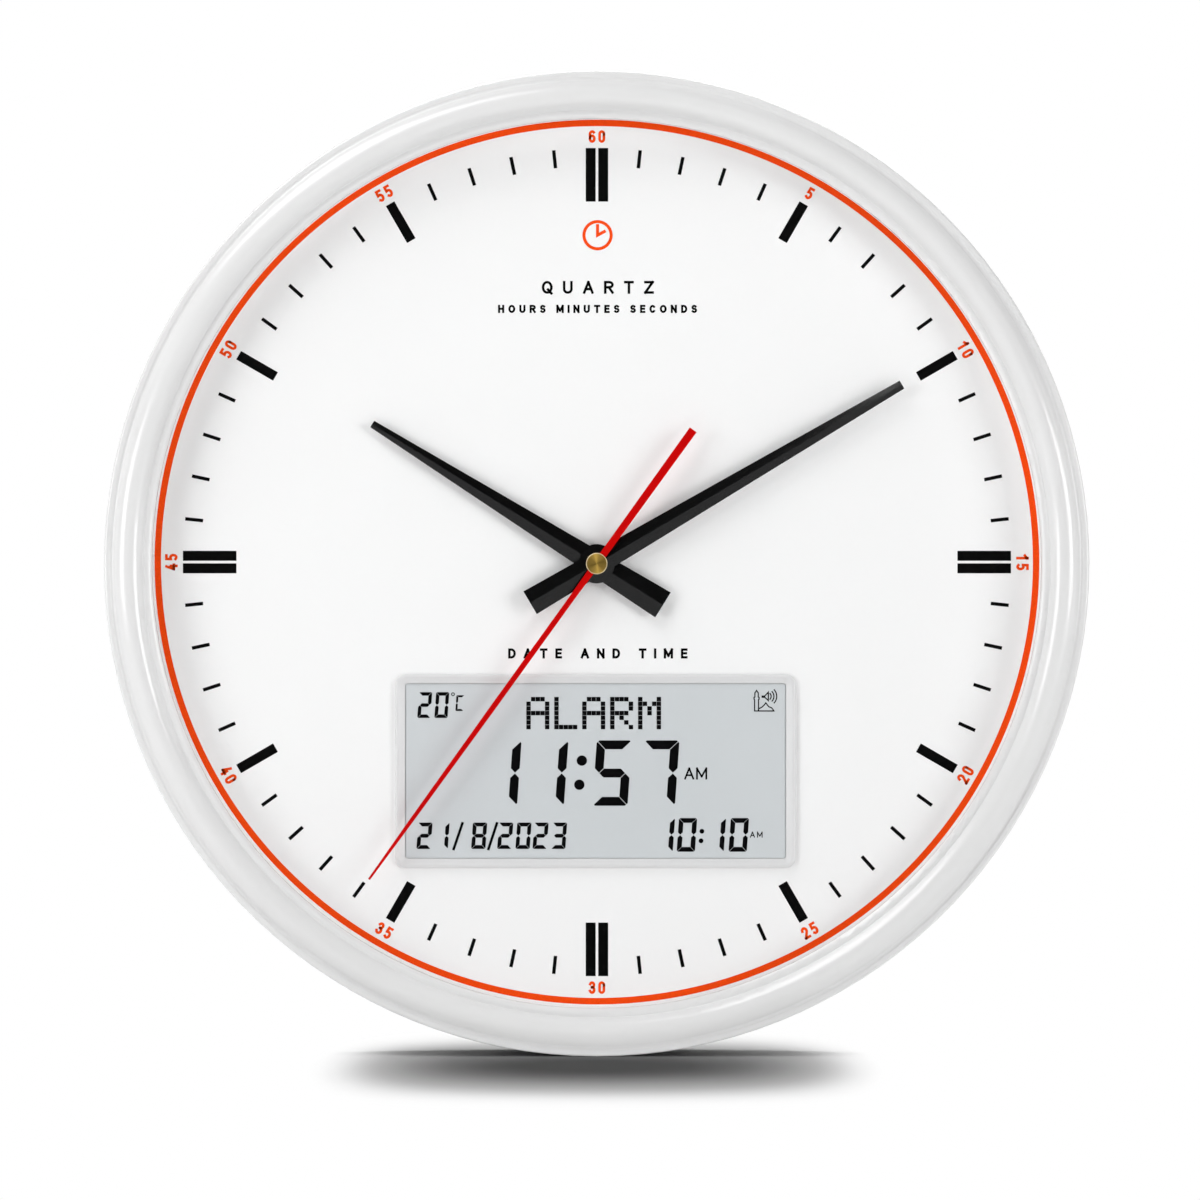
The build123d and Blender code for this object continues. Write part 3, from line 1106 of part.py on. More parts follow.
def pressed_hand(hand, depth, boss, pipe):
    """Folded blade with a round boss a hair behind it and a collar, bored to fit on its pipe."""
    roofed_boss(hand, depth - BOSS_STEP, boss[0])
    roofed_blade(hand, depth)
    disc(depth - HAND_COLLAR, depth, boss[1])
    disc(depth - HAND_COLLAR, depth + HAND_RIDGE, pipe, mode=Mode.SUBTRACT)


with BuildPart() as hour_hand:
    pressed_hand(HOUR_HAND, HOUR_DEPTH, HOUR_BOSS, HOUR_PIPE[1])
finish(hour_hand.part, "hour_hand")

with BuildPart() as minute_hand:
    pressed_hand(MINUTE_HAND, MINUTE_DEPTH, MINUTE_BOSS, MINUTE_TUBE[1])
finish(minute_hand.part, "minute_hand")

with BuildPart() as second_hand:
    tail = (-SECOND_HAND["tail"], SECOND_HAND["tail_width"] / 2)
    waist = (0, SECOND_WAIST / 2)
    necks = [(reach, width / 2) for reach, width in (SECOND_NECK, *SECOND_SHOULDERS)]
    tip = (SECOND_HAND["tip"], SECOND_HAND["tip_width"] / 2)
    upper = [tail, waist, *necks, tip]
    lower = [(x, -y) for x, y in reversed(upper)]
    with BuildSketch(along(SECOND_HAND, SECOND_DEPTH)):
        with BuildLine():
            Polyline(*upper, *lower, close=True)
        make_face()
        Circle(SECOND_HUB)
    extrude(amount=SECOND_SHEET)
    disc(SECOND_DEPTH - SECOND_COLLAR[1], SECOND_DEPTH, SECOND_COLLAR[0])
    disc(SECOND_DEPTH - SECOND_COLLAR[1], SECOND_DEPTH + SECOND_SHEET, SECOND_ARBOR, mode=Mode.SUBTRACT)
finish(second_hand.part, "second_hand")

with BuildPart() as hand_cap:
    disc(*CAP_SPAN, CAP_RADIUS)
    chamfer(hand_cap.edges().group_by(Axis.Y)[0], CAP_BEVEL)
finish(hand_cap.part, "hand_cap")
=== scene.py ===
import json
from math import cos, pi, radians, sin, tan

import bmesh
import bpy
from mathutils import Matrix, Vector


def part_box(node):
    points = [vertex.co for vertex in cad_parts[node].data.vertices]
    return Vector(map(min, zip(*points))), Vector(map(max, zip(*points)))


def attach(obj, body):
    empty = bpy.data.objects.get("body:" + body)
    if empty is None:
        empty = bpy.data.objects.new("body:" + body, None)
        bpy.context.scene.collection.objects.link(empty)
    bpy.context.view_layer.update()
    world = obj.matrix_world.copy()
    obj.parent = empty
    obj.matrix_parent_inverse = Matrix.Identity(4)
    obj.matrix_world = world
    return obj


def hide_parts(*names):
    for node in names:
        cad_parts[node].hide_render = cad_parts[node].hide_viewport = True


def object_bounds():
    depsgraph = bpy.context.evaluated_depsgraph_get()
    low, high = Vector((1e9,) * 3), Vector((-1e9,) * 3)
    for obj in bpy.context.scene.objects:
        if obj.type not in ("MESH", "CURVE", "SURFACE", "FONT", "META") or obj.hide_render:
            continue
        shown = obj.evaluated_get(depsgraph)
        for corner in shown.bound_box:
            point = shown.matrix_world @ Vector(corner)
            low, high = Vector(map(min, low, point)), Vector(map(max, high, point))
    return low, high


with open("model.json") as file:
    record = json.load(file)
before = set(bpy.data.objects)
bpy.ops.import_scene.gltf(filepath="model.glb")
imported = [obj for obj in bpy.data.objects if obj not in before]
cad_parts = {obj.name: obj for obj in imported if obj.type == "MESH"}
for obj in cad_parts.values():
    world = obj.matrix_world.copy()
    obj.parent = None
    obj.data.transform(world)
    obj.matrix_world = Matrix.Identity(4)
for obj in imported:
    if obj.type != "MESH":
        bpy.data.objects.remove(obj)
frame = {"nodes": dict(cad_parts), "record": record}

# Round wall clock with an analogue dial and a framed liquid-crystal display.
# Metres, in the frame of the CAD model: the dial faces -Y and the hands turn about Y.
# Printed marks and display segments are written in millimetres from the axis of the hands.

MM = 0.001
NODES = frame["nodes"]
CAD_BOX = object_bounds()

# ---------------------------------------------------------------- photograph and camera
IMAGE_WIDTH = 1200
# The pixel of the axis of the hands, and a pixel's real size at a plane close to the frame's front
HUB_PIXEL = (596.7, 563.6)
PIXEL = 0.3553 * MM
FRAME_PLANE = -46.0 * MM
CAMERA_DISTANCE = 3.0
SENSOR = 36.0

# ---------------------------------------------------------------- printed dial
# Sizes are as printed. The dial lies behind the frame's front, so it looks a little smaller.
INK_LIFT = 0.03 * MM
DEGREES_PER_MINUTE = 6
# The sheet is printed a little above the axis of the hands
PRINT_CENTRE = (0.08, 0.6)
BAR_WIDTH = 3.5
BAR_SPAN = (132.4, 147.6)
DOUBLE_BAR_WIDTH = 3.54
DOUBLE_BAR_GAP = 0.93
DOUBLE_BAR_SPAN = (128.6, 147.7)
TICK_WIDTH = 1.25
TICK_SPAN = (141.25, 147.7)
ORANGE_RING = (155.5, 157.8)
RING_STEPS = 360
NUMBER_RADIUS = 151.8
NUMBER_HEIGHT = 4.5
NUMBER_STROKE = 0.94
# Width of a number by its count of digits
NUMBER_WIDTHS = {1: 2.5, 2: 5.9}
# These stand with their feet outwards, so that they read upright
LOWER_NUMBERS = (20, 25, 30, 35, 40)
# Each line of words: text, middle, width, height and stroke
TYPE_LINE = ("QUARTZ", (0.4, 98.6), 40.0, 4.6, 0.9)
HANDS_LINE = ("HOURS MINUTES SECONDS", (0.3, 90.9), 71.0, 2.9, 0.75)
LABEL_LINE = ("DATE AND TIME", (0.4, -32.0), 64.0, 3.6, 0.84)
# A plain clock face, with its hands as one bent line from its centre
SYMBOL_CENTRE = (0.3, 117.2)
SYMBOL_RADIUS = 5.4
SYMBOL_STROKE = 1.1
SYMBOL_STEPS = 64
SYMBOL_HANDS = ((0.0, 3.4), (0.0, 0.0), (2.4, 1.3))

# ---------------------------------------------------------------- display
SEGMENT_LIFT = 0.04 * MM
SLANT = tan(radians(4.0))
# Gap between segments and cut of their corners, as shares of the stroke
SEGMENT_GAP = 0.045
SEGMENT_CUT = 0.3
SEGMENTS_ON = {"0": "abcdef", "1": "bc", "2": "abged", "3": "abgcd", "5": "afgcd", "7": "abc",
               "8": "abcdefg", "C": "adef"}
# Rows of digits: top and bottom edge, width of a digit, stroke, and each digit with its left edge
TIME_ROW = {"top": -63.0, "bottom": -86.3, "width": 12.6, "stroke": 3.15,
            "digits": (("1", -41.0), ("1", -24.3), ("5", -1.6), ("7", 15.3))}
DATE_ROW = {"top": -92.3, "bottom": -101.7, "width": 5.1, "stroke": 1.38,
            "digits": (("2", -64.3), ("1", -58.2), ("8", -44.8), ("2", -35.5), ("0", -29.0), ("2", -22.9),
                       ("3", -16.3))}
ALARM_ROW = {"top": -90.7, "bottom": -102.7, "width": 6.5, "stroke": 1.7,
             "digits": (("1", 20.6), ("0", 28.5), ("1", 38.8), ("0", 47.0))}
HEAT_ROW = {"top": -45.8, "bottom": -55.0, "width": 4.7, "stroke": 1.25,
            "digits": (("2", -64.0), ("0", -57.9))}
UNIT_ROW = {"top": -46.9, "bottom": -52.5, "width": 2.8, "stroke": 0.7, "digits": (("C", -50.4),)}
# Centre and radius of each dot of the two colons
DOTS = (((-5.3, -70.2), 1.85), ((-6.2, -78.8), 1.85), ((37.5, -95.4), 0.85), ((37.2, -98.8), 0.85))
DOT_STEPS = 32
DEGREE_CENTRE = (-51.25, -46.55)
DEGREE_RADIUS = 0.66
DEGREE_STROKE = 0.32
DEGREE_STEPS = 20
# Foot and top of each slash in the date
SLASHES = (((-51.0, -101.7), (-47.9, -92.6)), ((-38.6, -101.7), (-35.6, -92.6)))
SLASH_WIDTH = 0.95
# Marks of the half of the day: text, middle, width, height and stroke
NOON_WORDS = (("AM", (35.3, -74.8), 8.2, 4.3, 0.64), ("AM", (56.9, -96.6), 4.5, 2.15, 0.34))
# The word in square dots: its upper left corner, the pitch and side of a dot, and a letter's advance in dots
MATRIX_WORD = "ALARM"
MATRIX_LEFT = -25.1
MATRIX_TOP = -47.5
MATRIX_PITCH = 1.66
MATRIX_DOT = 1.57
MATRIX_ADVANCE = 6
MATRIX_LETTERS = {
    "A": ("01110", "10001", "10001", "11111", "10001", "10001", "10001"),
    "L": ("10000", "10000", "10000", "10000", "10000", "10000", "11111"),
    "R": ("11110", "10001", "10001", "11110", "10100", "10010", "10001"),
    "M": ("10001", "11011", "10101", "10101", "10001", "10001", "10001"),
}
ICON_CORNER = (56.0, -52.7)
ICON_LINE = 0.42

# ---------------------------------------------------------------- light
WHITE = (1.0, 1.0, 1.0, 1.0)
# Strength of the world's light, and of its reflection from the camera's side, which turns to white between
# two directions, as shares of straight back
WORLD_LIGHT = 0.2
FRONT_LIGHT = 0.06
WORLD_TURN = (-0.2, 0.2)


# ---------------------------------------------------------------- shader helpers
# Sockets of the Mix node when it mixes colours
MIX_FACTOR, MIX_FIRST, MIX_SECOND = 0, 6, 7
MIX_RESULT = 2


def add(tree, kind, inputs=None, **settings):
    """Adds a shader node; an input is a value or another node's output."""
    made = tree.nodes.new("ShaderNode" + kind)
    for key, value in settings.items():
        setattr(made, key, value)
    for key, value in (inputs or {}).items():
        if isinstance(value, bpy.types.NodeSocket):
            tree.links.new(value, made.inputs[key])
        else:
            made.inputs[key].default_value = value
    return made


def surface(name, **values):
    """A material with its own Principled shader; returns the material, its tree and the shader."""
    material = bpy.data.materials.new(name)
    material.use_nodes = True
    tree = material.node_tree
    shader = tree.nodes["Principled BSDF"]
    for key, value in values.items():
        shader.inputs[key.replace("_", " ")].default_value = value
    return material, tree, shader


def object_point(tree):
    """The shaded point in the object's own coordinates."""
    return add(tree, "TexCoord").outputs["Object"]


def place(tree, stretch=(1, 1, 1)):
    """The shaded point in the object's own coordinates, stretched."""
    return add(tree, "Mapping", {"Vector": object_point(tree), "Scale": stretch}).outputs["Vector"]


def vector(tree, operation, first, second):
    """Arithmetic on two vectors."""
    return add(tree, "VectorMath", {0: first, 1: second}, operation=operation).outputs["Vector"]


def magnitude(tree, value):
    return add(tree, "VectorMath", {0: value}, operation="LENGTH").outputs["Value"]


def radius_about_y(tree, where):
    """Distance of a point from the Y axis."""
    return magnitude(tree, vector(tree, "MULTIPLY", where, (1, 0, 1)))


def noise(tree, where, scale, detail=3.0, roughness=0.5):
    inputs = {"Vector": where, "Scale": scale, "Detail": detail, "Roughness": roughness}
    return add(tree, "TexNoise", inputs).outputs["Fac"]


def between(tree, value, low, high, start=0.3, end=0.7, **settings):
    """A value spread out between two limits, by default from the usual range of a noise."""
    inputs = {"Value": value, "From Min": start, "From Max": end, "To Min": low, "To Max": high}
    return add(tree, "MapRange", inputs, **settings).outputs["Result"]


def eased(tree, value, low, high, start, end):
    """A value that passes smoothly from one limit to the other."""
    return between(tree, value, low, high, start, end, interpolation_type="SMOOTHSTEP")


def calc(tree, operation, first, second=0.0, third=0.0):
    return add(tree, "Math", {0: first, 1: second, 2: third}, operation=operation).outputs[0]


def weighed(tree, first, second, share):
    """The sum of two values, the first by its share and the second by the rest."""
    return calc(tree, "MULTIPLY_ADD", first, share, calc(tree, "MULTIPLY", second, 1 - share))


def blend_colours(tree, factor, first, second):
    """A mix of two colours by a factor."""
    inputs = {MIX_FACTOR: factor, MIX_FIRST: first, MIX_SECOND: second}
    return add(tree, "Mix", inputs, data_type="RGBA").outputs[MIX_RESULT]


def shade(colour, factor=1.0):
    """A colour made darker or lighter, with its alpha."""
    return (colour[0] * factor, colour[1] * factor, colour[2] * factor, 1.0)


def vary_colour(tree, shader, factor, colour, dark, light=1.0):
    """A base colour between two shades of one colour."""
    mixed = blend_colours(tree, factor, shade(colour, dark), shade(colour, light))
    tree.links.new(mixed, shader.inputs["Base Color"])


def vary_roughness(tree, shader, value, low, high, start=0.3, end=0.7):
    """A roughness between two limits."""
    tree.links.new(between(tree, value, low, high, start, end), shader.inputs["Roughness"])


def relief(tree, shader, height, depth, under=None):
    """Surface relief of a given depth in metres, over another one where there is one."""
    inputs = {"Height": height, "Distance": depth, "Strength": 1.0}
    if under is not None:
        inputs["Normal"] = under
    normal = add(tree, "Bump", inputs).outputs["Normal"]
    tree.links.new(normal, shader.inputs["Normal"])
    return normal


# ---------------------------------------------------------------- materials
# Scales of noise are in features per metre, relief is in metres, and a shade is a share of the colour.
def moulded(name, colour, roughness, grain, depth, mottle=0.03, spread=0.08):
    """Moulded plastic: slight mottling, uneven gloss and a fine grain."""
    material, tree, shader = surface(name, Specular_IOR_Level=0.5)
    where = place(tree)
    dust = noise(tree, where, scale=900.0, detail=2.0)
    cloud = noise(tree, where, scale=35.0, detail=4.0)
    tone = between(tree, weighed(tree, dust, cloud, share=0.35), 0, 1, start=0.38, end=0.62)
    vary_colour(tree, shader, tone, colour, dark=1 - mottle)
    gloss = noise(tree, where, scale=160.0)
    vary_roughness(tree, shader, gloss, roughness - spread / 2, roughness + spread / 2)
    relief(tree, shader, noise(tree, where, grain, detail=2.0), depth)
    return material


def glossy_shell(name, colour):
    """Polished moulding: slightly cloudy, with hairline scuffs, orange peel and a fine grain."""
    material, tree, shader = surface(name, Specular_IOR_Level=0.5, Coat_Weight=0.25, Coat_Roughness=0.06)
    where = place(tree)
    cloud = between(tree, noise(tree, where, scale=14.0), 0, 1)
    vary_colour(tree, shader, cloud, colour, dark=0.975)
    scuffs = noise(tree, place(tree, stretch=(1.0, 1.0, 0.04)), scale=2600.0, detail=1.0)
    vary_roughness(tree, shader, scuffs, low=0.2, high=0.26, start=0.45, end=0.75)
    peel = relief(tree, shader, noise(tree, where, scale=170.0, detail=2.0), depth=0.003 * MM)
    relief(tree, shader, noise(tree, where, scale=1500.0, detail=1.0), depth=0.0008 * MM, under=peel)
    return material


def dial_sheet(name, colour):
    """Satin printed sheet with a very fine tooth."""
    material, tree, shader = surface(name, Specular_IOR_Level=0.35)
    where = place(tree)
    cloud = between(tree, noise(tree, where, scale=9.0, detail=4.0), 0, 1)
    vary_colour(tree, shader, cloud, colour, dark=0.985)
    vary_roughness(tree, shader, noise(tree, where, scale=400.0, detail=2.0), low=0.5, high=0.6)
    relief(tree, shader, noise(tree, where, scale=3500.0, detail=2.0), depth=0.004 * MM)
    return material


def ink(name, colour, roughness=0.55, specular=0.25, spread=0.12):
    """Screen-printed ink: even colour with specks of tone and a soft tooth."""
    material, tree, shader = surface(name, Specular_IOR_Level=specular)
    where = place(tree)
    speck = between(tree, noise(tree, where, scale=2400.0, detail=2.0), 0, 1)
    vary_colour(tree, shader, speck, colour, dark=0.9, light=1.04)
    gloss = noise(tree, where, scale=700.0)
    vary_roughness(tree, shader, gloss, roughness - spread / 2, roughness + spread / 2)
    relief(tree, shader, noise(tree, where, scale=3000.0, detail=2.0), depth=0.003 * MM)
    return material


def lacquer(name, colour, roughness, specular, depth=0.003 * MM, spread=0.11):
    """Lacquered sheet metal with a faint rolling grain."""
    material, tree, shader = surface(name, Specular_IOR_Level=specular)
    where = place(tree)
    cloud = between(tree, noise(tree, where, scale=120.0, detail=4.0), 0, 1)
    vary_colour(tree, shader, cloud, colour, dark=0.92, light=1.05)
    gloss = noise(tree, where, scale=900.0)
    vary_roughness(tree, shader, gloss, roughness - spread / 2, roughness + spread / 2)
    relief(tree, shader, noise(tree, where, scale=1300.0, detail=2.0), depth)
    return material


def worn_metal(name, colour, roughness, stretch, grain=700.0):
    """Plated or brushed metal: streaks along one way and cloudy plating."""
    material, tree, shader = surface(name, Metallic=1.0)
    smoother, rougher = 0.08, 0.12
    streaks = noise(tree, place(tree, stretch), grain, detail=4.0, roughness=0.6)
    cloud = noise(tree, place(tree), scale=90.0, detail=4.0)
    tone = between(tree, calc(tree, "MULTIPLY", streaks, cloud), 0, 1, start=0.15, end=0.4)
    vary_colour(tree, shader, tone, colour, dark=0.75)
    vary_roughness(tree, shader, streaks, roughness - smoother, roughness + rougher)
    relief(tree, shader, streaks, depth=0.006 * MM)
    return material


# The dark wedges of painted reflection on the spun cap lie along this angle from the right of the dial
PAINTED_WEDGE_ANGLE = radians(22)
# Painted reflection about the axis: two broad wedges of tone, and six narrow ones by a smaller share
BROAD_WEDGES = 2.0
NARROW_WEDGES = 6.0
NARROW_SHARE = 0.35
# The rim's lighter colour is a painted highlight
RIM_HIGHLIGHT_TONE = (0.95, 0.8, 0.5)


def spun_metal(name, colour, roughness, rim):
    """Metal turned about the axis: fine rings, wedge-shaped painted reflections and a rim with a painted
    highlight.
    """
    material, tree, shader = surface(name, Metallic=1.0, Anisotropic=0.8)
    smoother, rougher = 0.06, 0.1
    tangent = add(tree, "Tangent", direction_type="RADIAL", axis="Y").outputs["Tangent"]
    tree.links.new(tangent, shader.inputs["Tangent"])
    where = object_point(tree)
    radius = radius_about_y(tree, where)
    rings = add(tree, "TexNoise", {"W": radius, "Scale": 9000.0, "Detail": 3.0},
                noise_dimensions="1D").outputs["Fac"]
    split = add(tree, "SeparateXYZ", {0: where}).outputs
    # Dark and light wedges about the axis: painted reflection in the base colour
    angle = calc(tree, "SUBTRACT", calc(tree, "ARCTAN2", split["Z"], split["X"]), PAINTED_WEDGE_ANGLE)
    broad = calc(tree, "COSINE", calc(tree, "MULTIPLY", angle, BROAD_WEDGES))
    narrow = calc(tree, "COSINE", calc(tree, "MULTIPLY", angle, NARROW_WEDGES))
    both = calc(tree, "MULTIPLY_ADD", narrow, NARROW_SHARE, broad)
    painted_wedges = between(tree, both, low=1.0, high=0.0, start=-1.0, end=1 + NARROW_SHARE)
    tone = weighed(tree, between(tree, rings, 0, 1), painted_wedges, share=0.25)
    face = blend_colours(tree, tone, shade(colour, 0.36), shade(colour, 1.1))
    # A lighter base colour on the rim, beyond this radius, is a painted highlight
    edge = calc(tree, "GREATER_THAN", radius, rim)
    tree.links.new(blend_colours(tree, edge, face, shade(RIM_HIGHLIGHT_TONE)), shader.inputs["Base Color"])
    vary_roughness(tree, shader, rings, roughness - smoother, roughness + rougher)
    return material


# The share of light that the glass mirrors at a grazing angle, and how fast it falls off towards the front
GLASS_MIRROR = 0.55
GLASS_FALL = 3.0
GLASS_TINT = (0.997, 0.998, 0.998)


def clear_pane(name):
    """Clear flat glass: nothing seen square on, a soft reflection towards grazing angles."""
    material, tree, shader = surface(name)
    smear = between(tree, noise(tree, place(tree), scale=22.0, detail=4.0), low=0.01, high=0.05)
    facing = add(tree, "LayerWeight", {"Blend": 0.5}).outputs["Facing"]
    amount = calc(tree, "MULTIPLY", calc(tree, "POWER", facing, GLASS_FALL), GLASS_MIRROR)
    gloss = add(tree, "BsdfGlossy", {"Color": WHITE, "Roughness": smear}).outputs["BSDF"]
    open_air = add(tree, "BsdfTransparent", {"Color": shade(GLASS_TINT)}).outputs["BSDF"]
    pane = add(tree, "MixShader", {0: amount, 1: open_air, 2: gloss}).outputs["Shader"]
    tree.links.new(pane, tree.nodes["Material Output"].inputs["Surface"])
    tree.nodes.remove(shader)
    return material


def display_glass(name, colour):
    """Reflective liquid-crystal cell: silver-grey and slightly cloudy, with a fine sparkle."""
    material, tree, shader = surface(name, Specular_IOR_Level=0.3)
    where = place(tree)
    sparkle = between(tree, noise(tree, where, scale=3800.0, detail=2.0), 0, 1)
    cloud = between(tree, noise(tree, where, scale=14.0), 0, 1)
    tone = weighed(tree, sparkle, cloud, share=0.4)
    vary_colour(tree, shader, tone, colour, dark=0.965, light=1.02)
    vary_roughness(tree, shader, sparkle, low=0.38, high=0.5, start=0, end=1)
    relief(tree, shader, noise(tree, where, scale=2600.0, detail=1.0), depth=0.002 * MM)
    return material


# Copper runs lie in the mortar of a brick pattern, and pads at the middles of loosely spaced cells
RUNS = {"Scale": 190.0, "Brick Width": 1.7, "Row Height": 0.31, "Mortar Size": 0.03,
        "Color1": (0.0, 0.0, 0.0, 1.0), "Color2": (0.2, 0.2, 0.2, 1.0), "Mortar": WHITE}
PADS = {"Scale": 260.0, "Randomness": 0.35}
PAD_RADIUS = 0.16


def circuit_board(name, mask, tin):
    """Solder mask over copper runs, with small tinned pads."""
    material, tree, shader = surface(name, Specular_IOR_Level=0.5)
    where = place(tree)
    turned = add(tree, "Mapping", {"Vector": where, "Rotation": (radians(90), 0, 0)}).outputs["Vector"]
    runs = add(tree, "TexBrick", {"Vector": turned, **RUNS}).outputs["Color"]
    spacing = add(tree, "TexVoronoi", {"Vector": where, **PADS}).outputs["Distance"]
    pad = calc(tree, "LESS_THAN", spacing, PAD_RADIUS)
    board = blend_colours(tree, runs, shade(mask, 0.85), shade(mask, 1.7))
    tree.links.new(blend_colours(tree, pad, board, shade(tin)), shader.inputs["Base Color"])
    tree.links.new(pad, shader.inputs["Metallic"])
    vary_roughness(tree, shader, noise(tree, where, scale=500.0), low=0.28, high=0.4)
    relief(tree, shader, runs, depth=0.02 * MM)
    return material


# A wave texture's bands repeat every pi / (rate * scale)
WAVE_RATE = 10


def striped_rubber(name, dark, light, pitch):
    """Connector strip: thin conducting layers across its length."""
    material, tree, shader = surface(name, Specular_IOR_Level=0.3, Roughness=0.75)
    where = place(tree)
    bands = add(tree, "TexWave", {"Vector": where, "Scale": pi / pitch / WAVE_RATE, "Distortion": 0.1},
                bands_direction="X").outputs["Fac"]
    tree.links.new(blend_colours(tree, bands, shade(dark), shade(light)), shader.inputs["Base Color"])
    relief(tree, shader, noise(tree, where, scale=1200.0), depth=0.02 * MM)
    return material


def soft_rubber(name, colour, contrast):
    """Foam or rubber with open pores, darker in their pits as painted shade."""
    material, tree, shader = surface(name, Specular_IOR_Level=0.2)
    where = place(tree)
    pores = add(tree, "TexVoronoi", {"Vector": where, "Scale": 2200.0}).outputs["Distance"]
    # Painted shade: darker in the pits of the pores
    vary_colour(tree, shader, pores, colour, dark=1 - contrast, light=1 + contrast)
    vary_roughness(tree, shader, noise(tree, where, scale=300.0), low=0.7, high=0.9)
    relief(tree, shader, pores, depth=0.05 * MM)
    return material


# Rings of the speaker's paper, in radians per metre of radius, and their height beside the fibre's
CONE_RINGS = 3000.0
CONE_RING_HEIGHT = 0.3


def paper_cone(name, colour, centre):
    """Pressed paper with rings about the centre of the speaker."""
    material, tree, shader = surface(name, Specular_IOR_Level=0.2)
    where = object_point(tree)
    radius = radius_about_y(tree, vector(tree, "SUBTRACT", where, centre))
    rings = calc(tree, "SINE", calc(tree, "MULTIPLY", radius, CONE_RINGS))
    fibre = noise(tree, where, scale=1500.0, detail=5.0, roughness=0.7)
    vary_colour(tree, shader, between(tree, fibre, 0, 1), colour, dark=0.7, light=1.5)
    vary_roughness(tree, shader, fibre, low=0.75, high=0.95)
    relief(tree, shader, calc(tree, "MULTIPLY_ADD", rings, CONE_RING_HEIGHT, fibre), depth=0.08 * MM)
    return material


def wound_wire(name, colour, pitch):
    """Enamelled wire, turn beside turn along X, darker towards the grooves between turns as painted shade.
    """
    material, tree, shader = surface(name, Metallic=0.85, Roughness=0.3, Coat_Weight=0.4)
    along = add(tree, "SeparateXYZ", {0: object_point(tree)}).outputs["X"]
    turns = calc(tree, "ABSOLUTE", calc(tree, "SINE", calc(tree, "MULTIPLY", along, pi / pitch)))
    # Painted shade: the colour darkens towards the grooves between turns
    vary_colour(tree, shader, turns, colour, dark=0.35, light=1.15)
    relief(tree, shader, turns, depth=0.08 * MM)
    return material


# A dry cell's bands, from its middle along it: the sleeve ends, with a pale rule, and bare steel begins
SLEEVE_END = 15.5 * MM
STEEL_START = 24.3 * MM
RULE_HALF = 0.35 * MM
SLEEVE_TONES = ((0.016, 0.017, 0.02), (0.03, 0.031, 0.036))
COPPER_BAND = (0.62, 0.27, 0.09)
RULE_TONE = (0.8, 0.8, 0.78)
STEEL_TONE = (0.7, 0.7, 0.68)


def cell_jacket(name, axis, middle=0.0):
    """Dry cell: dark printed sleeve, copper-coloured ends and bare steel at the terminals."""
    material, tree, shader = surface(name, Specular_IOR_Level=0.5)
    where = object_point(tree)
    along = calc(tree, "SUBTRACT", add(tree, "SeparateXYZ", {0: where}).outputs[axis], middle)
    spread = calc(tree, "ABSOLUTE", along)
    coppered = calc(tree, "GREATER_THAN", spread, SLEEVE_END)
    steel = calc(tree, "GREATER_THAN", spread, STEEL_START)
    rule = calc(tree, "COMPARE", spread, SLEEVE_END, RULE_HALF)
    cloud = between(tree, noise(tree, where, scale=300.0), 0, 1)
    tone = blend_colours(tree, cloud, *map(shade, SLEEVE_TONES))
    for mask, colour in ((coppered, COPPER_BAND), (rule, RULE_TONE), (steel, STEEL_TONE)):
        tone = blend_colours(tree, mask, tone, shade(colour))
    tree.links.new(tone, shader.inputs["Base Color"])
    tree.links.new(coppered, shader.inputs["Metallic"])
    vary_roughness(tree, shader, cloud, low=0.22, high=0.34, start=0, end=1)
    relief(tree, shader, noise(tree, where, scale=900.0), depth=0.006 * MM)
    return material
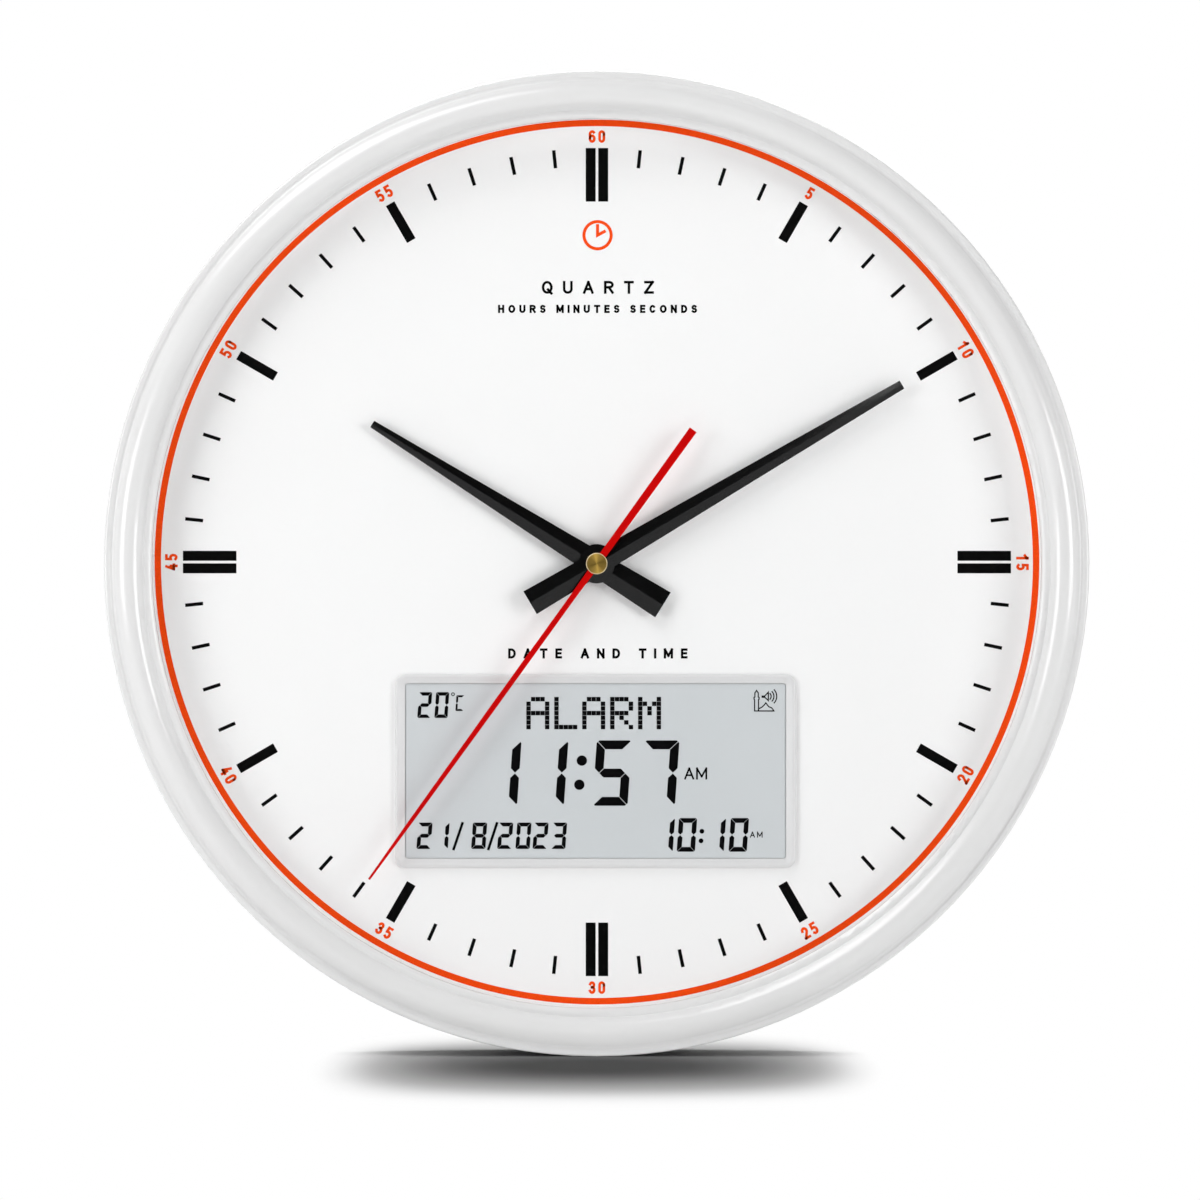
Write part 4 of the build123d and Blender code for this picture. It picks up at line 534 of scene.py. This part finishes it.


# The polished rim of the cap of the hands, which carries a painted highlight, begins this far inside its
# edge
CAP_EDGE = 0.3 * MM
CAP_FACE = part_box("hand_cap")[1].x - CAP_EDGE
SPEAKER_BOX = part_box("speaker_cone")
SPEAKER_CENTRE = (SPEAKER_BOX[0] + SPEAKER_BOX[1]) / 2
MOVEMENT_CELL_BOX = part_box("movement_cell")
MOVEMENT_CELL_MIDDLE = (MOVEMENT_CELL_BOX[0].x + MOVEMENT_CELL_BOX[1].x) / 2
SLOT_MATERIALS = {
    "white_abs": glossy_shell("white_abs", (0.75, 0.75, 0.75)),
    "clear_glass": clear_pane("clear_glass"),
    "pale_gasket": soft_rubber("pale_gasket", (0.8, 0.8, 0.8), 0.05),
    "dark_rubber": soft_rubber("dark_rubber", (0.02, 0.02, 0.021), 0.4),
    "dial_white": dial_sheet("dial_white", (0.94, 0.94, 0.94)),
    "carrier_plastic": moulded("carrier_plastic", (0.62, 0.62, 0.6), 0.55, 800.0, 0.02 * MM),
    "lcd_bezel_plastic": moulded("lcd_bezel_plastic", (0.74, 0.74, 0.745), 0.3, 500.0, 0.003 * MM,
                                 mottle=0.004, spread=0.03),
    "lcd_glass": display_glass("lcd_glass", (0.625, 0.655, 0.672)),
    "zebra_rubber": striped_rubber("zebra_rubber", (0.03, 0.03, 0.03), (0.6, 0.35, 0.4), pitch=0.2 * MM),
    "circuit_board": circuit_board("circuit_board", mask=(0.012, 0.11, 0.035), tin=(0.75, 0.73, 0.66)),
    "component_black": moulded("component_black", (0.018, 0.018, 0.02), 0.5, 1400.0, 0.015 * MM, mottle=0.3),
    "screw_steel": worn_metal("screw_steel", (0.62, 0.63, 0.63), 0.3, stretch=(1, 4, 1)),
    "rear_plastic": moulded("rear_plastic", (0.74, 0.74, 0.73), 0.48, 1600.0, 0.03 * MM, mottle=0.04),
    "hanger_steel": worn_metal("hanger_steel", (0.6, 0.61, 0.61), 0.33, stretch=(0.05, 1, 1), grain=1200.0),
    "speaker_steel": lacquer("speaker_steel", (0.02, 0.02, 0.022), 0.4, 0.5),
    "speaker_ferrite": moulded("speaker_ferrite", (0.055, 0.055, 0.06), 0.7, 1500.0, 0.04 * MM, mottle=0.4),
    "speaker_paper": paper_cone("speaker_paper", (0.02, 0.02, 0.021), SPEAKER_CENTRE),
    "cell_jacket": cell_jacket("cell_jacket", "Z"),
    "contact_metal": worn_metal("contact_metal", (0.78, 0.76, 0.72), 0.2, stretch=(1, 1, 8), grain=500.0),
    "key_plastic": moulded("key_plastic", (0.055, 0.055, 0.06), 0.45, 1500.0, 0.02 * MM, mottle=0.12),
    "movement_black": moulded("movement_black", (0.016, 0.016, 0.018), 0.38, 700.0, 0.008 * MM, mottle=0.2),
    "brass": worn_metal("brass", (0.8, 0.58, 0.22), 0.25, stretch=(1, 6, 1), grain=800.0),
    "coil_copper": wound_wire("coil_copper", (0.6, 0.22, 0.07), pitch=0.12 * MM),
    "stator_iron": worn_metal("stator_iron", (0.45, 0.46, 0.47), 0.42, stretch=(0.1, 1, 1), grain=900.0),
    "gear_plastic": moulded("gear_plastic", (0.79, 0.77, 0.68), 0.35, 700.0, 0.006 * MM, mottle=0.05),
    "hand_black": lacquer("hand_black", (0.001, 0.001, 0.0011), 0.26, 0.34, depth=0.0003 * MM, spread=0.02),
    "hand_red": lacquer("hand_red", (0.58, 0.0006, 0.0006), 0.4, 0.06),
    "cap_brass": spun_metal("cap_brass", (0.56, 0.365, 0.08), 0.4, rim=CAP_FACE),
}
NODE_MATERIALS = {"movement_cell": cell_jacket("cell_jacket_lying", "X", MOVEMENT_CELL_MIDDLE)}
for subpart in frame["record"]["subparts"]:
    chosen = NODE_MATERIALS.get(subpart["node"], SLOT_MATERIALS[subpart["material_slot"]])
    mesh = NODES[subpart["node"]].data
    mesh.materials.clear()
    mesh.materials.append(chosen)

BLACK_INK = ink("black_ink", (0.0015, 0.0015, 0.0015), 0.6, 0.05)
ORANGE_INK = ink("orange_ink", (0.955, 0.072, 0.003), 0.55, 0.08)
SEGMENT_INK = ink("segment_ink", (0.0015, 0.0015, 0.002), 0.5, 0.05)
LABEL_INK = ink("label_ink", (0.06, 0.06, 0.065))


# ---------------------------------------------------------------- lettering
def curve(centre, radii, start, end, steps=8):
    """Points on an ellipse, with angles in degrees anticlockwise from the right."""
    angles = [radians(start + (end - start) * k / steps) for k in range(steps + 1)]
    return [(centre[0] + radii[0] * cos(a), centre[1] + radii[1] * sin(a)) for a in angles]


HALF = (0.5, 0.5)
OVAL = curve(HALF, HALF, 0, 360, 28)
UPPER_BOWL = [(0, 0.5), (0, 1), (0.5, 1)] + curve((0.55, 0.75), (0.45, 0.25), 90, -90) + [(0, 0.5)]
# Strokes of each character in a box one wide and one high
GLYPHS = {
    "0": [curve((0.5, 0.74), (0.5, 0.26), 0, 180) + curve((0.5, 0.26), (0.5, 0.26), 180, 360) + [(1, 0.74)]],
    "1": [[(0.7, 0), (0.7, 1)], [(0.1, 0.74), (0.7, 0.94)]],
    "2": [curve((0.5, 0.73), (0.5, 0.27), 170, -35) + [(0.05, 0.02)], [(0, 0), (1, 0)]],
    "3": [curve((0.48, 0.765), (0.46, 0.235), 160, -90), curve((0.48, 0.265), (0.52, 0.265), 90, -160)],
    "4": [[(0.6, 1), (0, 0.27)], [(0, 0.25), (1, 0.25)], [(0.72, 0.55), (0.72, 0)]],
    "5": [[(0.92, 1), (0.12, 1), (0.08, 0.56)] + curve((0.48, 0.3), (0.52, 0.3), 115, -135)],
    "6": [curve((0.5, 0.74), (0.5, 0.26), 42, 180) + curve((0.5, 0.27), (0.5, 0.27), 180, 360)
          + curve((0.5, 0.31), (0.5, 0.27), 0, 170)],
    "A": [[(0, 0), (0.5, 1)], [(0.5, 1), (1, 0)], [(0.2, 0.33), (0.8, 0.33)]],
    "C": [curve(HALF, HALF, 45, 315, 20)],
    "D": [[(0.35, 0), (0, 0), (0, 1), (0.35, 1)] + curve((0.4, 0.5), (0.6, 0.5), 90, -90, 14) + [(0.35, 0)]],
    "E": [[(1, 1), (0, 1), (0, 0), (1, 0)], [(0, 0.52), (0.9, 0.52)]],
    "H": [[(0, 0), (0, 1)], [(1, 0), (1, 1)], [(0, 0.52), (1, 0.52)]],
    "I": [[(0.5, 0), (0.5, 1)]],
    "L": [[(0, 1), (0, 0), (1, 0)]],
    "M": [[(0, 0), (0, 1)], [(0, 1), (0.5, 0.2)], [(0.5, 0.2), (1, 1)], [(1, 1), (1, 0)]],
    "N": [[(0, 0), (0, 1)], [(0, 1), (1, 0)], [(1, 0), (1, 1)]],
    "O": [OVAL],
    "P": [[(0, 0), (0, 0.5)], UPPER_BOWL],
    "Q": [OVAL, [(0.6, 0.28), (1, -0.08)]],
    "R": [[(0, 0), (0, 0.5)], UPPER_BOWL, [(0.5, 0.5), (1, 0)]],
    "S": [curve((0.5, 0.75), (0.46, 0.25), 35, 250, 12) + curve((0.5, 0.26), (0.5, 0.26), 70, -145, 12)],
    "T": [[(0, 1), (1, 1)], [(0.5, 1), (0.5, 0)]],
    "U": [[(0, 1)] + curve((0.5, 0.33), (0.5, 0.33), 180, 360, 12) + [(1, 1)]],
    "V": [[(0, 1), (0.5, 0)], [(0.5, 0), (1, 1)]],
    "W": [[(0, 1), (0.25, 0)], [(0.25, 0), (0.5, 0.9)], [(0.5, 0.9), (0.75, 0)], [(0.75, 0), (1, 1)]],
    "Y": [[(0, 1), (0.5, 0.45)], [(1, 1), (0.5, 0.45)], [(0.5, 0.45), (0.5, 0)]],
    "Z": [[(0, 1), (1, 1)], [(1, 1), (0, 0)], [(0, 0), (1, 0)]],
}
# Width of a character as a share of its height
WIDTHS = {" ": 0.3, "A": 0.83, "E": 0.66, "I": 0.16, "L": 0.6, "M": 0.92, "O": 0.84, "Q": 0.84, "S": 0.7,
          "W": 1.0}
LETTER_WIDTH = 0.76
DIGIT_WIDTH = 0.55


def width_of(character):
    return DIGIT_WIDTH if character.isdigit() else WIDTHS.get(character, LETTER_WIDTH)


# ---------------------------------------------------------------- printed layers
class Layer:
    """A thin printed layer, drawn in millimetres from the axis of the hands as its reader sees it."""

    def __init__(self, name, y, material, body="root", front=True):
        self.name = name
        self.y = y
        self.material = material
        self.body = body
        self.side = 1 if front else -1
        self.shape = bmesh.new()

    def corner(self, point):
        return self.shape.verts.new((self.side * point[0] * MM, self.y, point[1] * MM))

    def polygon(self, points):
        self.shape.faces.new([self.corner(point) for point in points])

    def ribbon(self, points, width):
        """A line of constant width along a row of points, with mitred corners and square ends."""
        line = [Vector(point) for point in points]
        ways = [(b - a).normalized() for a, b in zip(line, line[1:])]
        line[0] = line[0] - ways[0] * width / 2
        line[-1] = line[-1] + ways[-1] * width / 2
        edges = []
        for point, before, after in zip(line, ways[:1] + ways, ways + ways[-1:]):
            middle = (before + after).normalized()
            side = Vector((-middle.y, middle.x)) * width / 2 / middle.dot(after)
            edges.append((self.corner(point - side), self.corner(point + side)))
        for (a, b), (c, d) in zip(edges, edges[1:]):
            self.shape.faces.new([a, c, d, b])

    def ring(self, centre, inner, outer, steps):
        near = [self.corner(point) for point in circle(centre, inner, steps)]
        far = [self.corner(point) for point in circle(centre, outer, steps)]
        for k in range(steps):
            after = (k + 1) % steps
            self.shape.faces.new([near[k], far[k], far[after], near[after]])

    def words(self, text, centre, width, height, stroke, turn=0.0):
        """A line of lettering fitted to a width, centred and turned clockwise."""
        solid = sum(width_of(character) for character in text) * height
        gap = (width - solid) / (len(text) - 1) if len(text) > 1 else 0
        start = -width / 2 if len(text) > 1 else -solid / 2
        turned = Matrix.Rotation(-turn, 2)
        for character in text:
            wide = width_of(character) * height
            for line in GLYPHS.get(character, ()):
                points = [Vector((start + stroke / 2 + x * (wide - stroke),
                                  (y - 0.5) * (height - stroke))) for x, y in line]
                self.ribbon([Vector(centre) + turned @ point for point in points], stroke)
            start += wide + gap

    def finish(self):
        """Turns the faces to their reader and makes the piece."""
        self.shape.normal_update()
        backward = [face for face in self.shape.faces if face.normal.y * self.side > 0]
        bmesh.ops.reverse_faces(self.shape, faces=backward)
        mesh = bpy.data.meshes.new(self.name)
        self.shape.to_mesh(mesh)
        self.shape.free()
        mesh.materials.append(self.material)
        piece = bpy.data.objects.new(self.name, mesh)
        bpy.context.scene.collection.objects.link(piece)
        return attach(piece, self.body)


def circle(centre, radius, steps):
    return [(centre[0] + radius * cos(2 * pi * k / steps), centre[1] + radius * sin(2 * pi * k / steps))
            for k in range(steps)]


def clockwise(minutes):
    """Directions outwards and along the rim at a minute of the dial."""
    angle = radians(DEGREES_PER_MINUTE * minutes)
    return Vector((sin(angle), cos(angle))), Vector((cos(angle), -sin(angle)))


def bar(minutes, span, width, offset=0.0):
    """A radial bar of the dial, between two radii, moved along the rim by an offset."""
    out, rim = clockwise(minutes)
    middle = Vector(PRINT_CENTRE) + rim * offset
    near = middle + out * span[0]
    far = middle + out * span[1]
    half = rim * width / 2
    return [near - half, near + half, far + half, far - half]


dial_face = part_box("dial_plate")[0].y - INK_LIFT
bars = Layer("dial_bars", dial_face, BLACK_INK)
for minutes in range(0, 60, 5):
    if minutes % 15:
        bars.polygon(bar(minutes, BAR_SPAN, BAR_WIDTH))
    else:
        for side in (-1, 1):
            offset = side * (DOUBLE_BAR_WIDTH + DOUBLE_BAR_GAP) / 2
            bars.polygon(bar(minutes, DOUBLE_BAR_SPAN, DOUBLE_BAR_WIDTH, offset))
bars.finish()

ticks = Layer("minute_ticks", dial_face, BLACK_INK)
for minutes in range(60):
    if minutes % 5:
        ticks.polygon(bar(minutes, TICK_SPAN, TICK_WIDTH))
ticks.finish()

orange_ring = Layer("orange_ring", dial_face, ORANGE_INK)
orange_ring.ring(PRINT_CENTRE, *ORANGE_RING, RING_STEPS)
orange_ring.finish()

numbers = Layer("minute_numbers", dial_face, ORANGE_INK)
for minutes in range(5, 65, 5):
    turn = radians(DEGREES_PER_MINUTE * minutes) + (pi if minutes in LOWER_NUMBERS else 0)
    text = str(minutes)
    middle = Vector(PRINT_CENTRE) + clockwise(minutes)[0] * NUMBER_RADIUS
    numbers.words(text, middle, NUMBER_WIDTHS[len(text)], NUMBER_HEIGHT, NUMBER_STROKE, turn)
numbers.finish()

symbol = Layer("dial_symbol", dial_face, ORANGE_INK)
symbol.ring(SYMBOL_CENTRE, SYMBOL_RADIUS - SYMBOL_STROKE, SYMBOL_RADIUS, SYMBOL_STEPS)
symbol.ribbon([Vector(SYMBOL_CENTRE) + Vector(point) for point in SYMBOL_HANDS], SYMBOL_STROKE)
symbol.finish()

words = Layer("dial_words", dial_face, BLACK_INK)
for line in (TYPE_LINE, HANDS_LINE, LABEL_LINE):
    words.words(*line)
words.finish()


# ---------------------------------------------------------------- display segments
def segment_shapes(width, height, stroke):
    """Outlines of the seven segments in an upright box: cut corners, mitred ends and hairline gaps."""
    gap = stroke * SEGMENT_GAP
    cut = stroke * SEGMENT_CUT
    middle = height / 2
    tip = stroke / 2
    near = (cut + gap) / 2
    far = (cut - gap) / 2
    inner = stroke + gap
    across = [(near, height - far), (cut, height), (width - cut, height), (width - near, height - far),
              (width - inner, height - stroke), (inner, height - stroke)]
    upper = [(0, height - cut), (far, height - near), (stroke, height - inner),
             (stroke, middle + tip + gap), (tip, middle + gap), (0, middle + tip + gap)]
    centre = [(tip + gap, middle), (inner, middle + tip), (width - inner, middle + tip),
              (width - tip - gap, middle), (width - inner, middle - tip), (inner, middle - tip)]
    lower = [(x, height - y) for x, y in upper]
    return {"a": across, "d": [(x, height - y) for x, y in across], "g": centre,
            "f": upper, "b": [(width - x, y) for x, y in upper],
            "e": lower, "c": [(width - x, y) for x, y in lower]}


def digits(layer, row):
    """A row of slanted seven-segment digits."""
    shapes = segment_shapes(row["width"], row["top"] - row["bottom"], row["stroke"])
    for digit, left in row["digits"]:
        for name in SEGMENTS_ON[digit]:
            layer.polygon([(left + x + y * SLANT, row["bottom"] + y) for x, y in shapes[name]])


display_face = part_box("lcd_cell")[0].y - SEGMENT_LIFT
segments = Layer("display_digits", display_face, SEGMENT_INK)
for row in (TIME_ROW, DATE_ROW, ALARM_ROW, HEAT_ROW, UNIT_ROW):
    digits(segments, row)
for centre, radius in DOTS:
    segments.polygon(circle(centre, radius, DOT_STEPS))
for line in SLASHES:
    segments.ribbon(line, SLASH_WIDTH)
segments.ring(DEGREE_CENTRE, DEGREE_RADIUS - DEGREE_STROKE, DEGREE_RADIUS, DEGREE_STEPS)
for line in NOON_WORDS:
    segments.words(*line)
segments.finish()

matrix = Layer("display_matrix", display_face, SEGMENT_INK)
for place_in_word, letter in enumerate(MATRIX_WORD):
    for row_number, row in enumerate(MATRIX_LETTERS[letter]):
        for column, lit in enumerate(row):
            if lit == "1":
                left = MATRIX_LEFT + (place_in_word * MATRIX_ADVANCE + column) * MATRIX_PITCH
                top = MATRIX_TOP - row_number * MATRIX_PITCH
                right, bottom = left + MATRIX_DOT, top - MATRIX_DOT
                matrix.polygon([(left, bottom), (right, bottom), (right, top), (left, top)])
matrix.finish()

# A tower beside a dome, with a loudspeaker and its waves above, from the icon's lower left corner
TOWER = [(0.3, 0.2), (0.3, 4.2), (0.1, 4.4), (0.1, 5.0), (0.4, 5.2), (0.4, 6.6), (1.0, 7.5),
         (1.6, 6.6), (1.6, 5.2), (1.9, 5.0), (1.9, 4.4), (1.7, 4.2), (1.7, 0.2)]
TOWER_FOOT = [(0.3, 0.2), (1.9, 0.2)]
DOME = [(1.9, 0.2), (7.2, 0.2), (6.4, 1.3), (5.4, 1.7), (4.8, 2.4), (4.3, 3.1), (3.8, 2.4), (3.1, 1.7),
        (1.9, 1.0)]
LOUDSPEAKER = [(3.0, 5.5), (3.9, 5.5), (5.2, 6.9), (5.2, 3.9), (3.9, 5.1), (3.0, 5.1), (3.0, 5.5)]
WAVE_CENTRE = (4.7, 5.4)
WAVE_RADII = (1.5, 2.5, 3.5)
WAVE_HALF_ANGLE = 42
WAVES = [curve(WAVE_CENTRE, (radius, radius), -WAVE_HALF_ANGLE, WAVE_HALF_ANGLE) for radius in WAVE_RADII]
icon = Layer("display_icon", display_face, SEGMENT_INK)
for line in (DOME, TOWER, TOWER_FOOT, LOUDSPEAKER, *WAVES):
    icon.ribbon([(ICON_CORNER[0] + x, ICON_CORNER[1] + z) for x, z in line], ICON_LINE)
icon.finish()


# ---------------------------------------------------------------- keys on the back
# Labels beside the keys, on the floor of their recess; seen from behind, across is to the left of the dial
RECESS_FLOOR = -3.0 * MM
LABEL_ACROSS = 100.3
LABEL_HEIGHT = 2.0
LABEL_STROKE = 0.36
# Each label: text, the key that it names and width
KEY_LABELS = (("MODE", "mode_button", 6.6), ("SET", "set_button", 4.7), ("UP", "up_button", 3.2),
              ("DOWN", "down_button", 6.6), ("PLAY", "play_button", 6.2), ("VOL", "volume_slider", 4.9))
labels = Layer("key_labels", RECESS_FLOOR + INK_LIFT, LABEL_INK, front=False)
for text, key, width in KEY_LABELS:
    low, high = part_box(key)
    labels.words(text, (LABEL_ACROSS, (low.z + high.z) / 2 / MM), width, LABEL_HEIGHT, LABEL_STROKE)
labels.finish()


# ---------------------------------------------------------------- battery springs
# Wound wire in place of the rings of the CAD. Each spring stands on a square foot and reaches a cell's end.
WIRE_RADIUS = 0.42 * MM
WIRE_SIDES = 10
FOOT_SIDE = 9.0 * MM
FOOT_THICKNESS = 0.5 * MM
SPRING_RADII = (3.15 * MM, 1.8 * MM)
SPRING_LOOPS = 5
LOOP_STEPS = 40
# A cell's end, from its middle, which is level with the axis of the hands
CELL_END = 24.5 * MM
# Faces smaller than this, in square metres, belong to the wire and are smooth
WIRE_FACE_AREA = 1e-6


def block(shape, low, high):
    """A box between two corners."""
    size = Vector(high) - Vector(low)
    where = Matrix.Translation((Vector(high) + Vector(low)) / 2) @ Matrix.Diagonal((*size, 1))
    bmesh.ops.create_cube(shape, size=1.0, matrix=where)


def coil(shape, foot, length, up):
    """A conical wire spring along Z that stands on its wide end, with flat ends of the wire."""
    steps = SPRING_LOOPS * LOOP_STEPS
    wide, narrow = SPRING_RADII
    around = [2 * pi * n / WIRE_SIDES for n in range(WIRE_SIDES)]
    loops = []
    for k in range(steps + 1):
        share = k / steps
        radius = wide + (narrow - wide) * share
        angle = 2 * pi * SPRING_LOOPS * share
        out = Vector((cos(angle), sin(angle), 0))
        rise = WIRE_RADIUS + (length - 2 * WIRE_RADIUS) * share
        centre = Vector(foot) + out * radius + Vector((0, 0, up * rise))
        rays = [out * cos(a) + Vector((0, 0, sin(a))) for a in around]
        loops.append([shape.verts.new(centre + ray * WIRE_RADIUS) for ray in rays])
    for near, far in zip(loops, loops[1:]):
        for n in range(WIRE_SIDES):
            after = (n + 1) % WIRE_SIDES
            shape.faces.new([near[n], near[after], far[after], far[n]])
    shape.faces.new(loops[0])
    shape.faces.new(loops[-1])


spring_low, spring_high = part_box("battery_springs")
cells_low, cells_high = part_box("azan_cells")
cell_middle = (cells_low.y + cells_high.y) / 2
half_foot = FOOT_SIDE / 2
spring_length = spring_high.z - FOOT_THICKNESS - CELL_END
# The left spring stands on the lower end of its bay, and the right one hangs from the upper end
spring_ends = ((spring_low.x + half_foot, spring_low.z, 1), (spring_high.x - half_foot, spring_high.z, -1))
coils = bmesh.new()
for across, end, up in spring_ends:
    inner = end + up * FOOT_THICKNESS
    block(coils, (across - half_foot, cell_middle - half_foot, min(end, inner)),
          (across + half_foot, cell_middle + half_foot, max(end, inner)))
    coil(coils, (across, cell_middle, inner), spring_length, up)
bmesh.ops.recalc_face_normals(coils, faces=coils.faces)
coil_mesh = bpy.data.meshes.new("battery_coils")
coils.to_mesh(coil_mesh)
coils.free()
coil_mesh.materials.append(SLOT_MATERIALS["contact_metal"])
for face in coil_mesh.polygons:
    face.use_smooth = face.area < WIRE_FACE_AREA
coil_springs = bpy.data.objects.new("battery_coils", coil_mesh)
bpy.context.scene.collection.objects.link(coil_springs)
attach(coil_springs, "root")
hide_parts("battery_springs")


# ---------------------------------------------------------------- floor, world, lamps and camera
def seen_by_eye(tree):
    """1 for camera, glossy and transmission rays."""
    path = add(tree, "LightPath").outputs
    pair = calc(tree, "MAXIMUM", path["Is Camera Ray"], path["Is Glossy Ray"])
    return calc(tree, "MAXIMUM", pair, path["Is Transmission Ray"])


FLOOR_SIZE = 8.0
FLOOR_COLOUR = (0.93, 0.93, 0.93)
# A painted shadow, a dark oval in the floor's colour, lies under the clock, and round it the floor's shading
# fades to the backdrop's white
OVAL_CENTRE = (0.0, -0.11, 0.0)
OVAL_RADII = (0.088, 0.17)
# The distance across is multiplied by the first value plus the second times a power of that distance, so
# that the oval's edge is steeper across than in depth
OVAL_BULGE = (0.65, 0.45)
OVAL_POWER = 3.0
# Tone of the painted shadow's middle, and the distances between which the painted shadow and the shading
# fade
SHADOW_TONE = 0.07
SHADOW_FADE = (0.15, 1.45)
FLOOR_FADE = (0.8, 1.5)
floor_mesh = bpy.data.meshes.new("floor")
floor_level = CAD_BOX[0].z
half = FLOOR_SIZE / 2
floor_mesh.from_pydata([(-half, -half, floor_level), (half, -half, floor_level), (half, half, floor_level),
                        (-half, half, floor_level)], [], [(0, 1, 2, 3)])
floor = bpy.data.objects.new("floor", floor_mesh)
bpy.context.scene.collection.objects.link(floor)
floor_material, tree, shader = surface("floor", Roughness=0.8, Specular_IOR_Level=0.03)
axes = add(tree, "SeparateXYZ", {0: vector(tree, "SUBTRACT", object_point(tree), OVAL_CENTRE)}).outputs
across = calc(tree, "ABSOLUTE", calc(tree, "DIVIDE", axes["X"], OVAL_RADII[0]))
bulge = calc(tree, "MULTIPLY_ADD", calc(tree, "POWER", across, OVAL_POWER), OVAL_BULGE[1], OVAL_BULGE[0])
deep = calc(tree, "DIVIDE", axes["Y"], OVAL_RADII[1])
away = add(tree, "CombineXYZ", {"X": calc(tree, "MULTIPLY", across, bulge), "Y": deep}).outputs["Vector"]
distance = magnitude(tree, away)
seen = seen_by_eye(tree)
shadow = calc(tree, "MULTIPLY", eased(tree, distance, 1.0, 0.0, *SHADOW_FADE), seen)
ground = blend_colours(tree, shadow, shade(FLOOR_COLOUR), shade(FLOOR_COLOUR, SHADOW_TONE))
tree.links.new(ground, shader.inputs["Base Color"])
paper = add(tree, "Emission", {"Color": WHITE, "Strength": 1.0}).outputs["Emission"]
amount = calc(tree, "MULTIPLY", eased(tree, distance, 0.0, 1.0, *FLOOR_FADE), seen)
mixed = add(tree, "MixShader", {0: amount, 1: shader.outputs["BSDF"], 2: paper}).outputs["Shader"]
tree.links.new(mixed, tree.nodes["Material Output"].inputs["Surface"])
floor_mesh.materials.append(floor_material)

# White behind the object, as far as the eye, metal and glass see it; dim in front of it, where the
# camera stands, so that gloss and black lacquer stay dark.
world = bpy.data.worlds.new("studio")
world.use_nodes = True
bpy.context.scene.world = world
tree = world.node_tree
plain = tree.nodes["Background"]
plain.inputs["Color"].default_value = WHITE
plain.inputs["Strength"].default_value = WORLD_LIGHT
path = add(tree, "LightPath").outputs
backwards = add(tree, "SeparateXYZ", {0: add(tree, "TexCoord").outputs["Generated"]}).outputs["Y"]
mirrored = between(tree, backwards, FRONT_LIGHT, 1.0, *WORLD_TURN)
straight = calc(tree, "MAXIMUM", path["Is Camera Ray"], path["Is Transmission Ray"])
strength = calc(tree, "MAXIMUM", straight, calc(tree, "MULTIPLY", mirrored, path["Is Glossy Ray"]))
white = add(tree, "Background", {"Color": WHITE, "Strength": strength}).outputs["Background"]
sky = add(tree, "MixShader", {0: seen_by_eye(tree), 1: plain.outputs["Background"], 2: white})
tree.links.new(sky.outputs["Shader"], tree.nodes["World Output"].inputs["Surface"])

# Name, place, point aimed at, width, height and power of each soft box
LAMPS = (
    ("key_upper_left", (-0.75, -0.6, 1.2), (0, 0, 0), 1.3, 0.8, 14.8),
    ("strip_right", (1.35, -0.28, 0.0), (0, 0, 0), 0.3, 1.2, 2.5),
    ("panel_left", (-1.9, -1.7, -0.1), (0, 0, 0), 1.2, 1.4, 28.5),
    ("panel_right", (1.9, -1.7, -0.1), (0, 0, 0), 1.2, 1.4, 36.5),
    ("overhead_back", (0.0, 1.0, 1.3), (0, -0.05, -0.1), 1.4, 0.5, 18.5),
)
for name, spot, target, width, height, power in LAMPS:
    lamp = bpy.data.lights.new(name, "AREA")
    lamp.shape = "RECTANGLE"
    lamp.size = width
    lamp.size_y = height
    lamp.energy = power
    holder = bpy.data.objects.new(name, lamp)
    holder.location = spot
    holder.rotation_euler = (Vector(target) - Vector(spot)).to_track_quat("-Z", "Y").to_euler()
    bpy.context.scene.collection.objects.link(holder)

camera = bpy.data.cameras.new("camera")
camera.type = "PERSP"
camera.sensor_width = SENSOR
camera.lens = SENSOR * CAMERA_DISTANCE / (IMAGE_WIDTH * PIXEL)
viewer = bpy.data.objects.new("camera", camera)
centre_pixel = IMAGE_WIDTH / 2
viewer.location = ((centre_pixel - HUB_PIXEL[0]) * PIXEL, FRAME_PLANE - CAMERA_DISTANCE,
                   (HUB_PIXEL[1] - centre_pixel) * PIXEL)
viewer.rotation_euler = (radians(90), 0, 0)
bpy.context.scene.collection.objects.link(viewer)
bpy.context.scene.camera = viewer
bpy.context.scene.view_settings.view_transform = "Standard"
